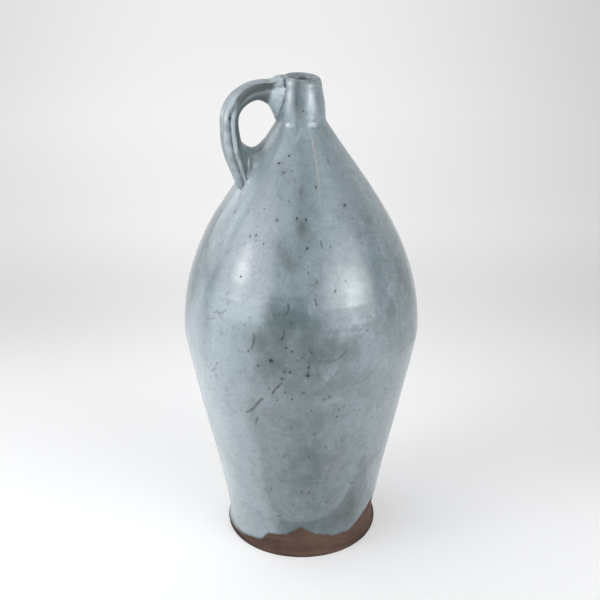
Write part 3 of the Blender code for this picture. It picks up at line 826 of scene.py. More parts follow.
def clay_material(name, finish):
    """Bare stoneware: matte chocolate brown, wiped in rings, with grit, a darker cut edge, and painted shade under the
    foot's lip toward the sides.
    """
    made, board = new_material(name)
    place = board.place()
    x, _, z = board.parts(place)
    dark = solid(finish.dark)
    wiped = board.noise(board.mapped(place, 14), 26, 4, 0.6, 0.3)
    cloud = board.noise(place, 42, 3, 0.6)
    grain = board.noise(place, 950, 2, 0.7)
    base = board.mix(board.smooth(wiped * 0.6 + cloud * 0.4, 0.36, 0.62), dark, solid(finish.light))
    base = board.mix(board.smooth(z, 0.0035, 0.0, 0, 0.75), base, dark)
    base = board.mix(board.smooth(grain, 0.30, 0.75, 0.0, 0.28), base, dark)
    far, pick = board.cells(place, 420)
    grit = (1 - board.smooth(far, 0.12, 0.26)) * board.smooth(pick, 0.86, 0.92)
    base = board.mix(grit * 0.3, base, solid(finish.grit))
    # Painted shade: a near-black line under the foot's lip, only toward the sides, where the undercut is seen at a
    # slant
    edge = board.smooth(z, 0.0050, 0.0024) * board.smooth(board.maths("ABSOLUTE", x), 0.030, 0.058, 0, 0.85)
    base = board.mix(edge, base, darker(finish.dark, 0.2))
    normal = board.bump(wiped, 0.0005, 0.5)
    normal = board.bump(grain + grit * 0.8, 0.00022, 0.8, normal)
    board.finish(board.surface(base, finish.roughness + grain * 0.15, IOR=1.42, Normal=normal))
    return made


def speck_material(name, finish):
    """Iron that bled up through the glaze: near black, each spot a little different."""
    made, board = new_material(name)
    grain = board.noise(board.place(), 1500, 2, 0.6)
    base = board.mix(board.attribute("tone") * 0.6, darker(finish.crack, 0.5), darker(finish.deep, 0.6))
    base = board.mix(board.smooth(grain, 0.5, 0.8, 0, 0.2), base, solid(finish.rust))
    normal = board.bump(grain, 0.00005, 0.5)
    board.finish(board.surface(base, 0.3 + grain * 0.2, Coat_Weight=0.5, Coat_Roughness=0.1, Normal=normal))
    return made


# Clay


def clay_relief(jug):
    """The relief of a clay ring: the thrown outside, and finger rings inside."""

    def relief(turn, height, line):
        outside = body_relief(jug, turn, height)
        spiral = 0.00035 * np.sin(height * math.tau / 0.016 - turn) + 0.0002 * dents(turn, height, DENT_SEED + 3)
        inner = inside_side(jug, line)[:, None]
        wiped = 0.00007 * np.sin(height * math.tau / 0.0026 + 0.6 * np.sin(3 * turn)) * smooth(0.003, 0.006, height)
        foot = wiped * (1 - smooth(0.034, 0.05, height))
        nicks = -0.0005 * bump(height, 0.002, 0.0016) * np.clip(dents(turn * 5, 0.0, DENT_SEED + 7), 0, 1) ** 2
        return np.where(inner, spiral * smooth(0.012, 0.03, height), outside + foot + nicks)

    return relief


def inside_side(jug, line):
    """Which points of a clay ring's outline lie on its inside."""
    wall = wall_line(jug)
    radius = np.interp(line[:, 1], wall[:, 1], wall[:, 0])
    return line[:, 0] < radius - jug.wall * 0.6


def spaced(line, step):
    """The outline's points at about a step from each other."""
    total = run_lengths(line)[-1]
    return resampled(line, np.linspace(0, total, max(2, round(total / step) + 1)))


def band(line, bottom, top):
    """The stretch of a climbing outline between two heights."""
    lengths = run_lengths(line)
    order = np.argsort(line[:, 1], kind="stable")
    low, high = np.interp((bottom, top), line[order, 1], lengths[order])
    keep = (lengths > low + 1e-6) & (lengths < high - 1e-6)
    return joined(resampled(line, [low]), line[keep], resampled(line, [high]))


class JUG_OT_lower_section(Operator):
    """Throw the lower clay: the wire-cut base, the foot's lip and the wall up to the joint"""

    bl_idname = "jug.lower_section"
    bl_label = "Lower clay"

    def execute(self, context):
        jug = context.scene.jug_sizes
        seam = heights(jug)[1]
        wall = band(pot_line(jug), 0, seam)
        bare = wall[:, 1] < BARE_TOP
        outside = joined(spaced(wall[bare], 0.0009), spaced(wall[~bare], WALL_STEP))
        outside[0] = wall[0]
        climb = inside_line(jug)
        level = climb[:, 1] <= jug.floor + 1e-6
        inside = joined(climb[level], band(climb[~level], jug.floor, seam))
        groove = [((outside[-1, 0] + inside[-1, 0]) / 2, seam - jug.seam_depth)]
        reach = np.linspace(0, jug.base_radius, 46)[:-1]
        wire_marks = 0.00012 * (0.5 + 0.5 * np.cos(reach * 2600))
        ring = joined(np.column_stack((reach, wire_marks)), outside, groove, spaced(inside, WALL_STEP)[::-1])
        look = clay_material("bare_clay", context.scene.jug_clay)
        made = turned_shell("lower_clay", jug, ring, columns=240, look=look, relief=clay_relief(jug))
        ride(sharpened(made, CLAY_CREASE), "bare_clay", "lower_section")
        return {"FINISHED"}


class JUG_OT_shoulder_section(Operator):
    """Throw the upper clay, from the joint to the foot of the neck"""

    bl_idname = "jug.shoulder_section"
    bl_label = "Shoulder clay"

    def execute(self, context):
        jug = context.scene.jug_sizes
        seam, neck_foot = heights(jug)[1:]
        bottom = seam + PIECE_GAP
        outside = spaced(band(wall_line(jug), bottom, neck_foot), WALL_STEP)
        inside = spaced(band(inside_line(jug)[2:], bottom, neck_foot), WALL_STEP)
        ridge = [((outside[0, 0] + inside[0, 0]) / 2, bottom - jug.seam_depth)]
        look = clay_material("shoulder_clay", context.scene.jug_clay)
        ring = joined(ridge, outside, inside[::-1])
        made = turned_shell("shoulder_clay", jug, ring, columns=160, look=look, relief=clay_relief(jug))
        ride(sharpened(made, CLAY_CREASE), "bare_clay", "shoulder_section")
        return {"FINISHED"}


class JUG_OT_neck_ring(Operator):
    """Throw the neck's collar with its rounded rim and bore"""

    bl_idname = "jug.neck_ring"
    bl_label = "Neck clay"

    def execute(self, context):
        jug = context.scene.jug_sizes
        bottom = heights(jug)[2] + PIECE_GAP
        line = neck_line(jug)
        outside = spaced(joined([(jug.neck_radius, bottom)], line[line[:, 1] > bottom]), 0.0012)
        ring = joined(outside, [(jug.bore_radius, bottom)])
        look = clay_material("neck_clay", context.scene.jug_clay)
        made = turned_shell("neck_clay", jug, ring, columns=96, look=look)
        ride(sharpened(made, CLAY_CREASE), "bare_clay", "neck_ring")
        return {"FINISHED"}


# Handle


def handle_line(jug, handle, count=150):
    """The handle's centre line as (distance from the axis, height), from inside the neck to inside the shoulder."""
    wall = wall_line(jug)
    neck_foot = heights(jug)[2]
    root = np.array((jug.bore_radius + PIECE_GAP, jug.height - handle.root_drop))
    seat_height = neck_foot - handle.foot_drop
    seat = np.array((np.interp(seat_height, wall[:, 1], wall[:, 0]), seat_height))
    crest = np.array((seat[0] + handle.overhang, jug.height - handle.reach_drop))
    foot = seat - (handle.foot_sink, 0)
    rising = np.array((math.cos(handle.root_angle), math.sin(handle.root_angle)))
    falling = np.array((math.cos(handle.foot_angle), math.sin(handle.foot_angle)))
    arch = bezier(root, root + rising * handle.root_pull, crest + (0, handle.crest_pull), crest, 120)
    drop = bezier(crest, crest - (0, handle.side_pull), foot + falling * handle.foot_pull, foot, 120)
    line = joined(arch, drop)
    return resampled(line, np.linspace(0, run_lengths(line)[-1], count))


# Share of the handle's length, then of its width and of its outer and inner half thickness
STRAP_SWELL = (
    (0.00, 0.80, 2.38, 3.20),
    (0.07, 0.84, 2.20, 2.55),
    (0.14, 0.90, 1.12, 1.70),
    (0.24, 0.96, 0.98, 1.00),
    (0.34, 0.98, 0.84, 0.97),
    (0.50, 0.98, 0.88, 0.97),
    (0.62, 0.94, 1.00, 1.10),
    (0.68, 0.88, 1.04, 1.28),
    (0.74, 0.78, 1.08, 1.38),
    (0.80, 0.66, 1.04, 1.36),
    (0.87, 0.50, 0.98, 1.20),
    (1.00, 0.36, 0.80, 1.00),
)


def strap_outline(count):
    """The strap's cross-section as smooth points of (across, outward), evenly spaced."""
    corners = np.array(STRAP_SHARES)
    rounds = []
    for i in range(len(corners)):
        a, b, c, d = (corners[(i + k) % len(corners)] for k in (-1, 0, 1, 2))
        t = np.linspace(0, 1, 12, endpoint=False)[:, None]
        rounds.append(0.5 * (2 * b + (c - a) * t + (2 * a - 5 * b + 4 * c - d) * t**2 + (3 * b - a - 3 * c + d) * t**3))
    line = np.vstack((*rounds, rounds[0][:1]))
    return resampled(line, np.linspace(0, run_lengths(line)[-1], count + 1)[:-1])


class PotField:
    """Signed distance to the outside of the glazed pot, read from a table over (radius, height)."""

    step = 0.00025
    widest, lowest, highest = 0.075, 0.280, 0.405

    def __init__(self, line):
        self.radii = np.arange(0, self.widest, self.step)
        self.heights = np.arange(self.lowest, self.highest, self.step)
        grid = np.stack(np.meshgrid(self.radii, self.heights, indexing="ij"), -1).reshape(-1, 2)
        near = line[line[:, 1] > self.lowest - 0.03]
        best = np.full(len(grid), FAR_AWAY)
        side = np.zeros(len(grid))
        for a, b in zip(near, near[1:]):
            along = b - a
            off = grid - a
            part = np.clip(off @ along / (along @ along), 0, 1)
            away = off - part[:, None] * along
            far = np.hypot(away[:, 0], away[:, 1])
            closer = far < best
            best = np.where(closer, far, best)
            side = np.where(closer, np.sign(off[:, 0] * along[1] - off[:, 1] * along[0]), side)
        self.table = (best * np.where(side == 0, 1, side)).reshape(len(self.radii), len(self.heights))

    def __call__(self, points):
        r = np.hypot(points[..., 0], points[..., 1]) / self.step
        z = (points[..., 2] - self.heights[0]) / self.step
        i = np.clip(r.astype(int), 0, len(self.radii) - 2)
        j = np.clip(z.astype(int), 0, len(self.heights) - 2)
        u, v = np.clip(r - i, 0, 1), np.clip(z - j, 0, 1)
        t = self.table
        low = t[i, j] * (1 - u) + t[i + 1, j] * u
        high = t[i, j + 1] * (1 - u) + t[i + 1, j + 1] * u
        return low * (1 - v) + high * v

    def outward(self, points):
        """The way out of the pot at each point."""
        way = np.stack([self(points + step) - self(points - step) for step in np.eye(3) * self.step], -1)
        return way / np.maximum(np.linalg.norm(way, axis=-1, keepdims=True), 1e-9)


def outer_line(jug, thickness):
    """The pot's outline without its bore, as far out as a thickness."""
    line = pot_line(jug)
    crest = np.argmax(line[:, 1])
    line = line[: crest + 1]
    out = line + normals_of(line) * thickness
    return joined(out, [(0.0, out[-1, 1])])


def blend_reach(share_along, outline):
    """How softly each side of the strap runs into the pot: widely inside, crisp outside and at the root's front."""
    across, outward = outline.T
    inner = smooth(0.25, -0.55, outward)
    front = smooth(0.30, 0.75, across)
    at_foot = smooth(0.40, 0.55, share_along)
    root = 0.0014 + 0.0046 * inner
    root = root * (1 - front) + (0.0005 + 0.0030 * smooth(-0.4, -0.8, outward)) * front
    foot = 0.0014 + inner * (0.0200 - 0.0140 * smooth(0.0, 0.8, across) + 0.0070 * smooth(0.0, -0.8, across))
    return np.maximum(root * (1 - at_foot) + foot * at_foot, 0.0004)


def strap_skin(jug, handle, rings, sides, grow):
    """The strap by itself: its centres, the reach from centre to skin, the skin's normals and its places."""
    line = handle_line(jug, handle, rings)
    lengths = run_lengths(line)
    shares = lengths / lengths[-1]
    along = np.gradient(line, lengths, axis=0)
    along /= np.linalg.norm(along, axis=1)[:, None]
    outline = strap_outline(sides)
    swell = np.array(STRAP_SWELL)
    width, outer, inner = (between(swell[:, (0, k)], shares) for k in (1, 2, 3))
    turn = handle.root_turn + (handle.foot_turn - handle.root_turn) * shares
    zero = np.zeros_like(turn)
    away = np.stack((-np.cos(turn), -np.sin(turn), zero), -1)
    across = np.stack((np.sin(turn), -np.cos(turn), zero), -1)
    up = np.array((0, 0, 1.0))
    centre = away * line[:, :1] + up * line[:, 1:]
    outward = away * -along[:, 1:] + up * along[:, :1]
    lumps = 1 + 0.018 * np.sin(shares * 19 + 1) + 0.012 * np.sin(shares * 41)
    half_width = (handle.width / 2 * width * lumps + grow)[:, None]
    beside, out = outline.T
    # The front groove is filled near the root
    slope = 0.98 * (1 - np.clip((beside - 0.44) / 0.56, 0, 1) ** 1.7) ** 0.62 - 0.04
    filled = np.where((beside > 0.44) & (out > -0.05), np.maximum(slope - out, 0), 0)
    share_out = out + filled * smooth(0.42, 0.30, shares)[:, None]
    half_outer, half_inner = (handle.thickness / 2 * side[:, None] + grow for side in (outer, inner))
    half_out = np.where(share_out > 0, half_outer, half_inner)
    # Toward the foot the strap narrows inside, and its front edge is pinched
    narrowed = 1 - 0.35 * smooth(0.0, -0.7, out) * smooth(0.60, 0.78, shares)[:, None]
    pinched = smooth(0.02, 0.18, out) * smooth(0.0, 0.3, beside)
    narrowed = narrowed - 0.42 * pinched * smooth(0.55, 0.85, shares)[:, None]
    reach = across[:, None] * (beside * narrowed * half_width)[..., None]
    reach = reach + outward[:, None] * (share_out * half_out)[..., None]
    skin = centre[:, None] + reach
    round_it = np.roll(skin, -1, 1) - np.roll(skin, 1, 1)
    facing = np.cross(round_it, np.gradient(skin, axis=0))
    facing /= np.maximum(np.linalg.norm(facing, axis=-1, keepdims=True), 1e-12)
    facing *= np.sign(np.sum(facing * reach, -1, keepdims=True))
    soft = np.stack([blend_reach(x, outline) for x in shares])
    return centre, reach, facing, soft, shares, outline, away


class StrapField:
    """Signed distance to the strap's own skin, and how softly the strap runs into the pot there."""

    gap = 0.0006

    def __init__(self, jug, handle, grow):
        centre, reach, facing, soft = strap_skin(jug, handle, rings=120, sides=80, grow=grow)[:4]
        self.skin = (centre[:, None] + reach).reshape(-1, 3)
        self.facing, self.soft = facing.reshape(-1, 3), soft.reshape(-1)
        self.tree = KDTree(len(self.skin))
        for i, place in enumerate(self.skin):
            self.tree.insert(place, i)
        self.tree.balance()

    def __call__(self, places):
        found = np.array([self.tree.find(place)[1] for place in places], int)
        off = places - self.skin[found]
        out = np.sum(off * self.facing[found], -1)
        beside = np.maximum(np.sum(off * off, -1) - out * out - self.gap**2, 0)
        return np.sign(out) * np.sqrt(out * out + beside), self.soft[found]


def blended(strap, pot, soft):
    """Signed distance to the strap and the pot run together."""
    return np.minimum(strap, pot) - (np.maximum(soft - np.abs(strap - pot), 0) / soft) ** 2 * soft / 4


# How the strap's skin is found: samples from its centre line out, then steps back and forth near the pot

SAMPLES = 140
NEAR_POT = 0.016
SETTLING_STEPS = 11
SETTLING_SHARE = 1.4
LONGEST_STEP = 0.0012
DEEPEST = 0.0022


def handle_points(jug, handle, rings, sides, grow, field):
    """Points of the strap's skin, run softly into the pot, and how far each one stands off the pot."""
    centre, reach, facing, soft, shares, outline, away = strap_skin(jug, handle, rings, sides, grow)
    full = np.linalg.norm(reach, axis=-1)
    square = np.sum(reach / full[..., None] * facing, -1)
    skin = centre[:, None] + reach
    form = body_relief(jug, np.arctan2(skin[..., 0], -skin[..., 1]), skin[..., 2])
    limit = 1 + (0.27 * soft + 0.0012) / full / np.maximum(square, 0.4)
    found = limit.copy()
    off_pot = np.zeros_like(full)
    off_strap = np.zeros_like(full)
    done = np.zeros(full.shape, bool)
    last = np.full(full.shape, -1.0)
    # Out from the centre line, to where the strap and the pot run together
    for step in range(SAMPLES + 1):
        t = limit * step / SAMPLES
        strap = (t - 1) * full * square
        pot = field(centre[:, None] + reach * t[..., None]) - form
        value = blended(strap, pot, soft)
        cross = ~done & (value >= 0)
        back = np.where(cross, value / np.where(value - last == 0, 1, value - last), 0)
        found = np.where(cross, t - limit / SAMPLES * np.clip(back, 0, 1), found)
        off_pot, off_strap = np.where(cross, pot, off_pot), np.where(cross, strap, off_strap)
        done |= cross
        last = np.where(done, last, value)
    # Near the pot, back and forth by the true distances
    close = done & (off_pot < NEAR_POT)
    strap_field = StrapField(jug, handle, grow)
    start = np.broadcast_to(centre[:, None], reach.shape)[close]
    way = reach[close] / full[close][:, None]
    far = full[close] * found[close]
    most = full[close] * limit[close]
    for _ in range(SETTLING_STEPS):
        places = start + way * far[:, None]
        strap, soft_there = strap_field(places)
        pot = field(places) - form[close]
        off = SETTLING_SHARE * blended(strap, pot, soft_there)
        far = np.clip(far - np.clip(off, -LONGEST_STEP, LONGEST_STEP), 0.0005, most)
    found[close] = far / full[close]
    off_strap[close], off_pot[close] = strap, pot
    points = centre[:, None] + reach * found[..., None]
    # Into the pot's glaze where the strap ends, but not deep
    pull = np.where(done, np.clip((off_strap - off_pot) * 1.2, 0, 0.0012), 0.0006)
    points = clear_of_bore(jug, points - field.outward(points) * pull[..., None], away[0])
    depth = field(points) - form
    sunk = np.maximum(-DEEPEST - depth, 0)
    points = points + field.outward(points) * sunk[..., None]
    lean_x, lean_y = sway(points[..., 2])
    points[..., 0] += lean_x
    points[..., 1] += lean_y
    return points, depth, shares, outline


def drawn_up(jug, handle, glaze, points, facing, turn, height):
    """The pot's points drawn up softly to the strap that runs into them."""
    strap_field = StrapField(jug, handle, glaze.thickness)
    near = (height > 0.285) & (height < 0.397) & (np.sin(turn) < -0.1)
    lean_x, lean_y = sway(points[near][:, 2])
    start = points[near] - np.column_stack((lean_x, lean_y, np.zeros_like(lean_x)))
    way, lift = facing[near], np.zeros(len(start))
    for _ in range(SETTLING_STEPS):
        apart, soft = strap_field(start + way * lift[:, None])
        lift = np.clip(lift - SETTLING_SHARE * blended(apart, lift, soft), 0, soft / 4)
    points[near] += way * lift[:, None]
    return points


def clear_of_bore(jug, points, away):
    """The points with the root's end kept in the neck's wall, and its top rounded down behind the rim's crest."""
    along = points @ away
    points = points + away * np.maximum(jug.bore_radius + 0.0008 - along, 0)[..., None]
    radius = np.hypot(points[..., 0], points[..., 1])
    inward = smooth(jug.rim_radius - 0.0004, jug.bore_radius + 0.0012, radius)
    top = jug.height + 0.0004 - 0.0030 * inward
    over = points[..., 2] - top
    soft = 0.0016
    lowered = np.where(over > -soft, top - soft + soft * np.tanh((over + soft) / soft), points[..., 2])
    near = smooth(jug.rim_radius + 0.012, jug.rim_radius + 0.003, radius)
    points[..., 2] += (lowered - points[..., 2]) * near
    return points


def capped_tube(rings, sides):
    """Faces of a tube of rings that is closed at both ends."""
    faces = hoop_faces(rings, sides, False)
    first = np.arange(sides)[::-1][None]
    last = ((rings - 1) * sides + np.arange(sides))[None]
    return [faces, first, last]


class JUG_OT_handle_clay(Operator):
    """Pull the handle's clay"""

    bl_idname = "jug.handle_clay"
    bl_label = "Handle clay"

    def execute(self, context):
        jug, handle = context.scene.jug_sizes, context.scene.jug_handle
        rings, sides = 90, 60
        field = PotField(outer_line(jug, 0.0))
        points = handle_points(jug, handle, rings, sides, 0.0, field)[0]
        look = clay_material("handle_clay", context.scene.jug_clay)
        made = new_piece("handle_clay", points.reshape(-1, 3), capped_tube(rings, sides), look)
        ride(merged(made), "bare_clay", "handle")
        return {"FINISHED"}


def strap_tones(jug, points, depth, shares, outline):
    """What the handle's material reads on each point: its own marks and tones, with painted shade on its shaded side
    and painted highlights on its top, roll, crown and brim, and the pot's where the two meet.
    """
    along = shares[:, None]
    across, outward = outline.T[:, None]
    turn, height = np.arctan2(points[..., 0], -points[..., 1]), points[..., 2]
    patchy = 0.5 + 0.5 * ripple(turn, height, 41, 40, 120)
    uneven = 0.75 + 0.35 * ripple(along * 9, across * 0, 44, 12, 1)
    # Where on the strap each point lies
    at_root = smooth(0.40, 0.30, along)
    upright = smooth(0.34, 0.46, along)
    low = smooth(0.60, 0.70, along)
    low_outside = (outward > 0) * smooth(0.62, 0.70, along)
    front = smooth(0.2, 0.75, across)
    inner = smooth(0.25, -0.25, outward)
    outer = smooth(0.3, 0.6, outward)
    edge = 0.48 + 0.28 * smooth(0.22, 0.42, along)
    # Dark: the groove behind the front edge, a second one low down, the cracks at the pot, and one spot of iron
    groove = bump(across, edge + 0.02, 0.055) * smooth(0.02, 0.12, outward) * smooth(0.13, 0.2, along) * uneven
    groove = groove * (0.55 + 0.45 * upright)
    second = bump(across, 0.50, 0.045) * low_outside * patchy
    tail = smooth(0.52, 0.62, along) * smooth(0.0, 0.4, outward)
    crack = bump(depth, 0.0001, 0.0013) * front * at_root * smooth(-0.95, -0.55, outward) * (0.7 + 0.5 * patchy)
    crack = np.maximum(crack, 0.8 * tail * bump(depth, 0.0001, 0.0006))
    ring, place = np.argmin(np.abs(shares - 0.469)), np.argmin(np.hypot(*(outline - (0.74, 0.35)).T))
    speck = bump(np.linalg.norm(points - points[ring, place], axis=-1), 0, 0.0010)
    # Deep: painted shade on the side in the groove's shadow, and a hollow along the middle
    pad = smooth(0.158, 0.112, along + 0.02 * outward + 0.012 * (patchy - 0.5))
    begin = -0.12 * upright * (1 - low) + 0.06 * low + 0.10 * (1 - upright)
    side = smooth(0, 1, (begin - outward) / 0.22)
    side = np.maximum(side, smooth(edge - 0.02, edge + 0.10, across) * (1 - upright))
    side = side * smooth(-1.02, -0.90, outward) * (1 - 0.35 * low * smooth(-0.45, -0.75, outward))
    shadow = side * (1 - pad) * smooth(0.95, 0.80, along) * (1 - 0.35 * low)
    hollow = bump(across, 0.02, 0.22) * outer * upright
    # Pale: the pad smeared on the neck and a flake; painted highlights on the top of the loop, the brim under it, the
    # roll and the crown
    top = (1 - inner) * smooth(0.30, 0.16, along) * (1 - shadow)
    brim = bump(outward, -1.0, 0.10) * front * (1 - pad) * smooth(0.60, 0.45, along)
    roll = bump(outward, 0.04, 0.15) * front * upright * (1 - 0.7 * low)
    crown = bump(across, 0.50, 0.13) * outer * upright * (1 - 0.4 * low)
    flake = bump(along, 0.055, 0.022) * bump(across, 0.42, 0.22) * (outward > 0) * smooth(0.35, 0.65, patchy)
    cover = np.maximum(0.55 * (1 - inner) * patchy, 0.95 * pad)
    cover = cover + 0.5 * top + 0.7 * brim + 0.9 * roll + 0.7 * crown + flake
    ridge = bump(across, -0.72, 0.10) + 0.7 * bump(across, 0.95, 0.08)
    own = {
        "thin": np.clip(0.40 * ridge * smooth(0.3, 0.7, outward) * smooth(0.15, 0.3, along) * patchy, 0, 1),
        # Painted highlights: cover lightens the top, brim, roll and crown, and mauve the top and crown, besides the
        # glaze's own tones
        "cover": np.clip(cover, 0, 1),
        # Painted shade: bare here and the iron-smudge tone below darken the strap's shaded side
        "bare": np.clip(0.95 * shadow + 0.45 * hollow + 0.2 * (1 - patchy) * (1 - pad) * (1 - top), 0, 1),
        "mauve": 0.35 * (1 - patchy) + 0.4 * top + 0.4 * crown,
        "stain_and_shade": np.clip(shadow * (0.65 + 0.35 * patchy) * (1 - 0.5 * low), 0, 1),
        "warm": 0.0,
    }
    # Its tones run into the pot's over the soft joint
    nearby = coat_values(jug, turn, height, np.hypot(points[..., 0], points[..., 1]), from_edge=1.0, past_crest=-1.0)[1]
    soft = np.stack([blend_reach(share_along, outline) for share_along in shares])
    alone = smooth(0.0, 1.0, (depth - 0.22 * soft) / (0.0011 + 0.16 * soft))
    values = {"mark": np.clip(0.95 * crack + 0.85 * groove + 0.45 * second + speck, 0, 1)}
    return values | {key: value * alone + nearby[key] * (1 - alone) for key, value in own.items()}


class JUG_OT_handle_glaze(Operator):
    """Glaze the handle, with its lengthwise ridges and the cracks where it joins the pot"""

    bl_idname = "jug.handle_glaze"
    bl_label = "Handle glaze"

    def execute(self, context):
        jug, handle, glaze = context.scene.jug_sizes, context.scene.jug_handle, context.scene.jug_glaze
        rings, sides = 210, 160
        field = PotField(outer_line(jug, glaze.thickness))
        points, depth, shares, outline = handle_points(jug, handle, rings, sides, glaze.thickness, field)
        values = strap_tones(jug, points, depth, shares, outline)
        look = glaze_material("handle_glaze", glaze)
        made = new_piece("handle_glaze", points.reshape(-1, 3), capped_tube(rings, sides), look, values)
        ride(merged(made), "outer_glaze", "outer_glaze")
        return {"FINISHED"}


# Outer glaze


def glaze_columns():
    """Turns of the glaze's columns, closer together where the gouges are."""
    return np.radians(np.concatenate([np.linspace(*stretch)[:-1] for stretch in COLUMN_STRETCHES]))


def glaze_rows(line):
    """Distances along the outline of the glaze's level rows, closer together across the belly."""
    lengths = run_lengths(line)
    rising = slice(np.argmax(line[:, 1]) + 1)
    tops, steps = zip(*ROW_STRETCHES)
    marks = np.interp((WAVY_TOP, *tops), line[rising, 1], lengths[rising])
    places = [np.arange(low, high, step) for low, high, step in zip(marks, marks[1:], steps)]
    return np.concatenate((*places, np.linspace(marks[-1], lengths[-1], RIM_ROWS)))


def glaze_edge(turn):
    """Height of the glaze's lower edge at each turn, with the small unevenness of a run."""
    height = between(GLAZE_LINE, np.degrees(wrapped(turn))) * MM
    ragged = 0.0005 * np.sin(turn * 23 + 1) + 0.0003 * np.sin(turn * 51 + 2) + 0.0002 * np.sin(turn * 97)
    return height + ragged * smooth(0.004, 0.012, height)


def glaze_grid(jug, thickness_of):
    """Points of the glaze's outer side as rows and columns, with each one's turn, height, radius and way out."""
    line = pot_line(jug)
    lengths = run_lengths(line)
    normal = normals_of(line)
    turn = glaze_columns()
    wall = line[:, 1] < 0.06
    edge, top = (np.interp(at, line[wall, 1], lengths[wall])[None] for at in (glaze_edge(turn), [WAVY_TOP]))
    waves = (np.linspace(0, 1, EDGE_ROWS)[:-1] ** 1.6)[:, None]
    rows = glaze_rows(line)
    places = np.vstack((edge + (top - edge) * waves, np.broadcast_to(rows[:, None], (len(rows), len(turn)))))
    radius, height = (np.interp(places, lengths, line[:, k]) for k in (0, 1))
    out_r, out_z = (np.interp(places, lengths, normal[:, k]) for k in (0, 1))
    turns = np.broadcast_to(turn[None], places.shape)
    past_crest = places - lengths[np.argmax(line[:, 1])]
    out = thickness_of(turns, height, radius, places - edge, past_crest)
    return placed(jug, turns, radius + out_r * out, height + out_z * out), turns, height, radius, out_r, out_z


def coat_values(jug, turn, height, radius, from_edge, past_crest):
    """How deep the gouges are, and what the glaze's material reads: marks, thin places, tones and stains, with painted
    highlights round the gouges and some painted light among the pale patches.
    """

    def stroke(points, width, wobble=0.0):
        """How much of a stroke of a width in millimetres covers each place."""
        return stroke_depth(turn, height, radius, points, width * MM, wobble)

    degrees = np.degrees(wrapped(turn))
    rough = ripple(turn, height, 21, 260, 420, 14)
    broken = np.clip(0.85 + 0.45 * ripple(turn, height, 22, 130, 220, 14), 0.30, 1)
    deep, mark, gouge_rim_highlight = (np.zeros(turn.shape) for _ in range(3))
    for depth, width, points in GOUGES:
        cover = stroke(points, width * 0.82, 0.00030 * rough)
        deep = np.maximum(deep, depth * cover * broken)
        mark = np.maximum(mark, min(1, depth * 1.9) * cover**1.1 * broken)
        # Painted highlight: a pale halo round each gouge, where its rim would catch the light
        halo = stroke(points, width * 1.9, 0.00050 * rough)
        gouge_rim_highlight = np.maximum(gouge_rim_highlight, depth * (halo - cover) * np.clip(1.3 - broken, 0, 1))
    for spot_turn, spot_height, size in IRON_SPOTS:
        spot = ((spot_turn, spot_height), (spot_turn + 0.01, spot_height))
        mark = np.maximum(mark, 0.35 * stroke(spot, size * 1.7))
    run = stroke(DARK_RUN, 0.9, 0.0003 * rough)
    tail = stroke(TAIL_CRACK, 0.5, 0.0002 * rough)
    mark = np.maximum(mark, np.maximum(0.65 * run * broken, 0.85 * tail * broken))
    seam, neck_foot = heights(jug)[1:]
    joint = bump(height, seam, 0.0013) * bump(degrees, -12, 16) * broken
    mark = np.maximum(mark, 0.20 * joint)
    mark = np.maximum(mark, 0.22 * bump(height, neck_foot + 0.0002, 0.0009) * (past_crest < 0))
    pour = smooth(3.5, -3.5, degrees - between(POUR_EDGE, height / MM) + 1.5 * rough) * smooth(-150, -110, degrees)
    right = smooth(15, 38, degrees)
    blur = 1.5 * MM + 2.2 * MM * right
    dip = smooth(0, 1, 0.5 + 0.5 * (height - between(SECOND_DIP, degrees) * MM) / blur)
    pale = 0.60 * pour * smooth(0.262, 0.235, height) + patches(PALE_PATCHES, turn, height) + 0.9 * gouge_rim_highlight
    bare = np.maximum(patches(DEEP_PATCHES, turn, height), (0.75 - 0.22 * right) * (1 - dip) * (1 - 0.8 * pour))
    bare = np.maximum(bare, 0.80 * bump(from_edge, 0, 0.0024))
    rim = smooth(jug.height - 0.0078, jug.height - 0.0036, height)
    thin = 0.16 * rim * (0.75 + 0.25 * rough) + 0.55 * bump(from_edge, 0, 0.0008)
    warm = 0.52 * stroke(PALE_RUN, 0.85, 0.0002 * rough)
    warm = warm * smooth(0.305, 0.335, height) * smooth(0.366, 0.352, height) * (0.4 + 0.6 * broken)
    stain_and_shade = patches(STAINS, turn, height) + 0.55 * bump(from_edge, 0, 0.0016)
    return deep, {
        "mark": mark,
        "thin": np.clip(thin, 0, 1),
        "cover": np.clip(pale, 0, 1),
        "bare": np.clip(bare, 0, 1),
        "mauve": patches(MAUVE_PATCHES, turn, height),
        "stain_and_shade": np.clip(stain_and_shade, 0, 1),
        "warm": warm,
    }


